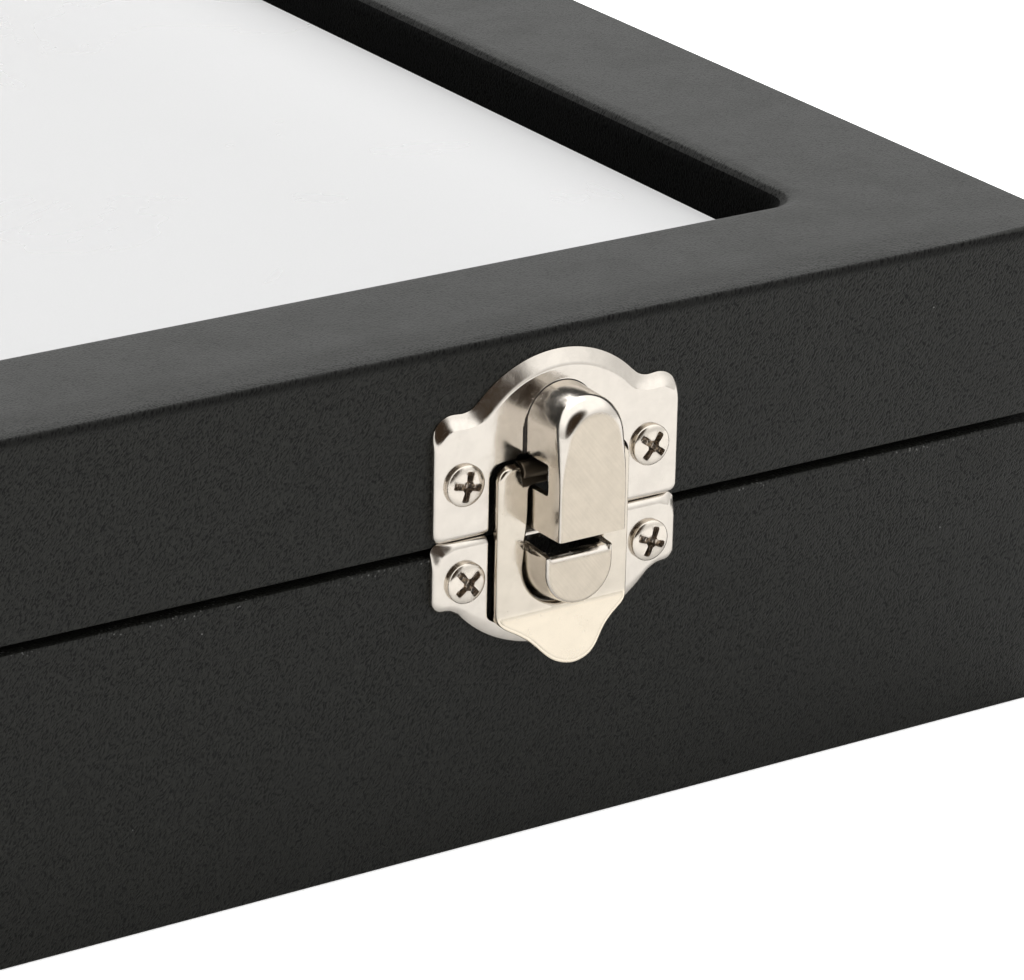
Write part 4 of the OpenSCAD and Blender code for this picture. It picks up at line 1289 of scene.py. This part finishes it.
def glass_sheet():
    lo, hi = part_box("glass_pane")
    x1, y1, z0, z1 = hi.x / MM, hi.y / MM, lo.z / MM, hi.z / MM
    c = 0.25
    rows = [(x1 - c, y1 - c, z0), (x1, y1, z0 + c), (x1, y1, z1 - c), (x1 - c, y1 - c, z1)]
    v, f, idx = [], [], []
    for a, b, z in rows:
        v += [(a, -b + 0.8, z), (a, b - 0.8, z), (a - 0.8, b, z), (-a + 0.8, b, z), (-a, b - 0.8, z), (-a, -b + 0.8, z),
              (-a + 0.8, -b, z), (a - 0.8, -b, z)]
    for i in range(3):
        for j in range(8):
            f.append((i * 8 + j, i * 8 + (j + 1) % 8, (i + 1) * 8 + (j + 1) % 8, (i + 1) * 8 + j))
            idx.append(1)
    f += [tuple(reversed(range(8))), tuple(range(24, 32))]
    idx += [0, 0]
    ob = make("glass_sheet", v, f, MM, [M["glass"], M["glass_edge"]], idx, angle=20)
    return outward(ob)


stand_for(glass_sheet(), "glass_pane")

# ---------------------------------------------------------------- velvet, liners, foam, underside sheet


def soft_slab(name, node, mat, r=0.3, step=6.0, wave=0.05, seed=1.0):
    """A card or strip covered in fabric: finely divided, eased edges and a faint unevenness, inside the node's box."""
    lo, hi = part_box(node)
    lo, hi = np.array(lo) / MM, np.array(hi) / MM
    size = hi - lo
    bm = bmesh.new()
    bmesh.ops.create_cube(bm, size=1.0)
    for v in bm.verts:
        for k in range(3):
            v.co[k] = lo[k] + (v.co[k] + 0.5) * size[k]
    bmesh.ops.bevel(bm, geom=bm.edges, offset=min(r, size.min() * 0.3), segments=3, affect="EDGES", profile=0.5)
    for k in range(3):
        n = int(size[k] / step)
        for i in range(1, n):
            c = lo[k] + size[k] * i / n
            no = Vector((0, 0, 0))
            no[k] = 1
            bmesh.ops.bisect_plane(bm, geom=bm.verts[:] + bm.edges[:] + bm.faces[:], plane_co=no * c, plane_no=no)
    for v in bm.verts:
        x, y, z = v.co
        d = wave * (math.sin(x * 0.11 + seed) * math.cos(y * 0.13 + 2 * seed) + 0.5 * math.sin(z * 0.3 + x * 0.05))
        thin = int(np.argmin(size))
        mid = (lo[thin] + hi[thin]) / 2
        inward = -abs(d) if v.co[thin] > mid else abs(d)
        v.co[thin] += inward
    for v in bm.verts:
        v.co *= MM
    me = bpy.data.meshes.new(name)
    bm.to_mesh(me)
    bm.free()
    me.materials.append(mat)
    ob = bpy.data.objects.new(name, me)
    scene.collection.objects.link(ob)
    smooth(ob, 50)
    return ob


for i, s in enumerate(("front", "back", "left", "right")):
    stand_for(soft_slab(f"base_liner_{s}_velvet", f"base_liner_{s}", M["velvet"], 0.35, seed=1.0 + i), f"base_liner_{s}")


def lining():
    """Velvet on the inner faces of the lid's strips: four walls with a turned lower edge."""
    lo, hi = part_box("lid_velvet_lining")
    outer_x, outer_y, t, z0, z1 = hi.x / MM, hi.y / MM, 0.6, lo.z / MM, hi.z / MM
    prof = [(0.0, z0 + 0.2), (0.06, z0 + 0.06), (0.2, z0), (t - 0.2, z0), (t - 0.06, z0 + 0.06), (t, z0 + 0.2)]
    prof += [(t, z) for z in np.linspace(z0 + 1, z1 - 1, 5)] + [(t, z1), (0.0, z1)]
    v, n = [], 0
    for o, z in prof:
        a, b = outer_x - o, outer_y - o
        pts = []
        for sx, sy, horizontal in ((1, -1, False), (1, 1, True), (-1, 1, False), (-1, -1, True)):
            for q in np.linspace(-1, 1, 41)[:-1]:
                if not horizontal:
                    pts.append((sx * a, sx * q * b))
                else:
                    pts.append((-sy * q * a, sy * b))
        n = len(pts)
        for x, y in pts:
            d = 0.05 * math.sin(x * 0.12 + y * 0.1 + z * 0.2) * (1 if o > 0.3 else 0)
            v.append((x - math.copysign(abs(d), x) * (abs(abs(x) - a) < 1e-6), y - math.copysign(abs(d), y) * (abs(abs(y) - b) < 1e-6), z))
    k = len(prof)
    f = [(i * n + j, i * n + (j + 1) % n, ((i + 1) % k) * n + (j + 1) % n, ((i + 1) % k) * n + j) for i in range(k) for j in range(n)]
    return outward(make("lid_lining_velvet", v, f, MM, [M["velvet_lining"]], angle=50))


stand_for(lining(), "lid_velvet_lining")


def sheet_under():
    """Backing sheet under the case: thin, faintly uneven, with a soft edge, standing on z = 0."""
    a, b = 172.5, 117.5
    rows = [(0.35, 0.0), (0.1, 0.06), (0.0, 0.22), (0.05, 0.4), (0.3, 0.5)]
    marks_x, marks_y = np.linspace(-1, 1, 50)[1:-1], np.linspace(-1, 1, 36)[1:-1]
    loops = [ring(2.5 + o, z, 3.0 - o * 0.5, marks_x, marks_y, 8) for o, z in rows]
    n = len(loops[0])
    v = np.vstack(loops)
    f = [(i * n + j, i * n + (j + 1) % n, (i + 1) * n + (j + 1) % n, (i + 1) * n + j) for i in range(len(rows) - 1) for j in range(n)]
    verts, faces = [tuple(x) for x in v], list(f)
    for row, z, flip in ((0, 0.0, True), (len(rows) - 1, 0.5, False)):
        loop = loops[row][:, :2]
        pts = grid_points((-a, a, -b, b), 8.0, lambda p: (np.abs(p[:, 0]) < a - 4) & (np.abs(p[:, 1]) < b - 4))
        tv, tf = triangles([loop], lambda p: sdf(p, loop) > 0, pts)
        # points on the loop are taken from the ring so that the mesh closes
        ids = []
        for x, y in tv:
            d = np.hypot(loop[:, 0] - x, loop[:, 1] - y)
            j = int(d.argmin())
            if d[j] < 1e-3:
                ids.append(row * n + j)
            else:
                lift = 0.02 * (1 + math.sin(x * 0.07) * math.cos(y * 0.09)) if flip else 0.0
                ids.append(len(verts))
                verts.append((x, y, z + lift))
        faces += [tuple(ids[q] for q in (t[::-1] if flip else t)) for t in tf]
    return outward(make("underside_paper", verts, faces, MM, [M["backing_paper"]], angle=50))


stand_for(sheet_under(), "base_underside_sheet")


def pad_shape(node, crown_by, side_by, pull):
    """A stuffed pad as a closed crowned form: cloth over foam, swollen by pressure, then held to its recess."""
    lo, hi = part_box(node)
    lo, hi = np.array(lo), np.array(hi)
    start_lo, start_hi = lo + [pull, pull, 0.0], hi - [pull, pull, 0.0012]
    bm = bmesh.new()
    bmesh.ops.create_cube(bm, size=1.0)
    for v in bm.verts:
        for k in range(3):
            v.co[k] = start_lo[k] + (v.co[k] + 0.5) * (start_hi[k] - start_lo[k])
    bmesh.ops.bevel(bm, geom=bm.edges, offset=min(0.003, (hi[2] - lo[2]) * 0.2), segments=3, affect="EDGES", profile=0.5)
    me = bpy.data.meshes.new("pad")
    bm.to_mesh(me)
    bm.free()
    ob = bpy.data.objects.new("pad", me)
    scene.collection.objects.link(ob)
    mod = ob.modifiers.new("voxels", "REMESH")
    mod.mode = "VOXEL"
    mod.voxel_size = 0.004
    applied(ob)
    rest = np.array([v.co for v in ob.data.vertices])
    cloth = ob.modifiers.new("cloth", "CLOTH")
    s = cloth.settings
    s.quality = 6
    s.mass = 0.25
    s.tension_stiffness = s.compression_stiffness = 12
    s.shear_stiffness = 5
    s.bending_stiffness = 0.6
    s.use_pressure = True
    s.uniform_pressure_force = 4.0
    s.effector_weights.gravity = 0
    cloth.point_cache.frame_start = 1
    cloth.point_cache.frame_end = 20
    for f in range(1, 21):
        scene.frame_set(f)
    applied(ob)
    scene.frame_set(1)
    now = np.array([v.co for v in ob.data.vertices])
    move = now - rest
    far = np.linalg.norm(move, axis=1, keepdims=True)
    move *= np.minimum(1.0, 0.005 / np.maximum(far, 1e-9))
    now = rest + move
    # pressed flat where it lies on what is below it, and kept within its recess at the sides
    half = (hi - lo) / 2
    mid = (hi + lo) / 2
    edge_x = np.clip((half[0] - np.abs(now[:, 0] - mid[0])) / 0.03, 0, 1)
    edge_y = np.clip((half[1] - np.abs(now[:, 1] - mid[1])) / 0.03, 0, 1)
    crown = crown_by * np.sqrt(np.clip(edge_x * edge_y, 0, 1))
    now[:, 0] = np.clip(now[:, 0], lo[0] - side_by, hi[0] + side_by)
    now[:, 1] = np.clip(now[:, 1], lo[1] - side_by, hi[1] + side_by)
    limit = hi[2] + crown
    over = now[:, 2] > limit
    now[over, 2] = limit[over]
    now[:, 2] = np.maximum(now[:, 2], lo[2] + 0.0001)
    ob.data.vertices.foreach_set("co", now.ravel())
    sub = ob.modifiers.new("soft", "SMOOTH")
    sub.factor = 0.5
    sub.iterations = 8
    applied(ob)
    return ob


def pad_pieces():
    ob = pad_shape("velvet_pad_cover", 0.0, 0.0001, 0.0015)
    bm = bmesh.new()
    bm.from_mesh(ob.data)
    bm.normal_update()
    # foam: the same form, one cover thickness smaller
    inner = bm.copy()
    for v in inner.verts:
        v.co = v.co - v.normal * 0.0011
        v.co.z = max(v.co.z, 0.0042)
    me = bpy.data.meshes.new("foam_block")
    inner.to_mesh(me)
    inner.free()
    me.materials.append(M["foam"])
    block_ob = bpy.data.objects.new("foam_block", me)
    scene.collection.objects.link(block_ob)
    smooth(block_ob, 180)
    stand_for(block_ob, "foam_pad")
    # cover: top and sides, open below, turned in as a thin skin
    low = [f for f in bm.faces if f.normal.z < -0.7]
    bmesh.ops.delete(bm, geom=low, context="FACES")
    cover = bpy.data.meshes.new("pad_velvet")
    bm.to_mesh(cover)
    bm.free()
    cover.materials.append(M["velvet"])
    cov = bpy.data.objects.new("pad_velvet", cover)
    scene.collection.objects.link(cov)
    sol = cov.modifiers.new("skin", "SOLIDIFY")
    sol.thickness = 0.0007
    sol.offset = -1.0
    sol.use_even_offset = True
    fine = cov.modifiers.new("fine", "SUBSURF")
    fine.levels = fine.render_levels = 1
    applied(cov)
    smooth(cov, 180)
    stand_for(cov, "velvet_pad_cover")
    remove(ob)
    # the top pad, one closed velvet-covered form that lies on the insert
    top = pad_shape("pin_pad", 0.0004, 0.0001, 0.0010)
    fine = top.modifiers.new("fine", "SUBSURF")
    fine.levels = fine.render_levels = 1
    applied(top)
    top.name = top.data.name = "pin_pad_velvet"
    top.data.materials.clear()
    top.data.materials.append(M["velvet"])
    smooth(top, 180)
    stand_for(top, "pin_pad")


pad_pieces()

# ---------------------------------------------------------------- materials of the CAD nodes that stay

for node, mat in (
    ("base_front_board", "fibreboard"), ("base_back_board", "fibreboard"), ("base_left_board", "fibreboard"),
    ("base_right_board", "fibreboard"), ("base_bottom_panel", "fibreboard"), ("lid_front_rail", "fibreboard"),
    ("lid_back_rail", "fibreboard"), ("lid_left_rail", "fibreboard"), ("lid_right_rail", "fibreboard"),
    ("glass_retainer_front", "fibreboard"), ("glass_retainer_back", "fibreboard"),
    ("glass_retainer_left", "fibreboard"), ("glass_retainer_right", "fibreboard"),
):
    o = frame["nodes"][node]
    o.data.materials.clear()
    o.data.materials.append(M[mat])

# ---------------------------------------------------------------- floor and light


def floor():
    m = Mat("floor_paper")
    tone = m.span(m.noise(m.co, 0.002, 2.0), 0.3, 0.7, 0.985, 1.0)
    col = m.mix(1.0, (0.93, 0.93, 0.93), m.along_grey(tone), "MULTIPLY")
    body = m.principled(base_color=col, roughness=0.9, specular_ior_level=0.1)
    lit = m.node("Emission")
    lit.inputs[0].default_value = (1, 1, 1, 1)
    lit.inputs[1].default_value = 0.5
    both = m.node("AddShader")
    m.put(both.inputs[0], body)
    m.put(both.inputs[1], lit.outputs[0])
    pick = m.node("MixShader")
    m.put(pick.inputs[0], m.node("LightPath").outputs["Is Camera Ray"])
    m.put(pick.inputs[1], body)
    m.put(pick.inputs[2], both.outputs[0])
    mat = m.done(pick.outputs[0])
    s = 6.0
    n = 13
    g = np.linspace(-s, s, n)
    v = [(x, y, -0.00002) for y in g for x in g]
    f = [(j * n + i, j * n + i + 1, (j + 1) * n + i + 1, (j + 1) * n + i) for j in range(n - 1) for i in range(n - 1)]
    ob = make("floor", v, f, 1.0, [mat])
    return ob


floor()

world = bpy.data.worlds.new("studio")
scene.world = world
world.use_nodes = True
wt = world.node_tree
wt.nodes.clear()


class WorldNodes(Mat):
    def __init__(self, tree):
        self.t = tree
        self.out = tree.nodes.new("ShaderNodeOutputWorld")


w = WorldNodes(wt)
ray_dir = w.node("TexCoord").outputs["Generated"]


def patch(direction, inner, outer):
    """1 within inner degrees of a direction, 0 beyond outer degrees."""
    d = Vector(direction).normalized()
    dot = w.vec("DOT_PRODUCT", ray_dir, tuple(d))
    return w.span(dot, math.cos(math.radians(outer)), math.cos(math.radians(inner)))


height = w.xyz(ray_dir)[2]
level = w.span(height, 0.12, 0.62, 1.0, 1.7)
dark = patch((-0.33, -0.81, 0.46), 24, 40)
sky = w.mix(dark, w.along_grey(level), (0.05, 0.034, 0.022))
path = w.node("LightPath")
shown = w.mix(path.outputs["Is Camera Ray"], sky, (1.05, 1.05, 1.05))
bg = w.node("Background")
w.put(bg.inputs[0], shown)
w.put(w.out.inputs[0], bg.outputs[0])


def soft_box(name, place_at, look_at, size, watts, colour=(1, 1, 1)):
    data = bpy.data.lights.new(name, "AREA")
    data.shape = "RECTANGLE"
    data.size, data.size_y = size
    data.energy = watts
    data.color = colour
    ob = bpy.data.objects.new(name, data)
    scene.collection.objects.link(ob)
    ob.location = place_at
    ob.rotation_mode = "QUATERNION"
    ob.rotation_quaternion = (Vector(look_at) - Vector(place_at)).to_track_quat("-Z", "Y")
    ob.visible_camera = False
    return ob


soft_box("key", (0.1, 0.8, 1.6), (0, 0, 0), (1.4, 1.0), 9.0)
scene.view_settings.view_transform = "Standard"
scene.view_settings.look = "None"
scene.view_settings.exposure = 0.0
scene.view_settings.gamma = 1.0
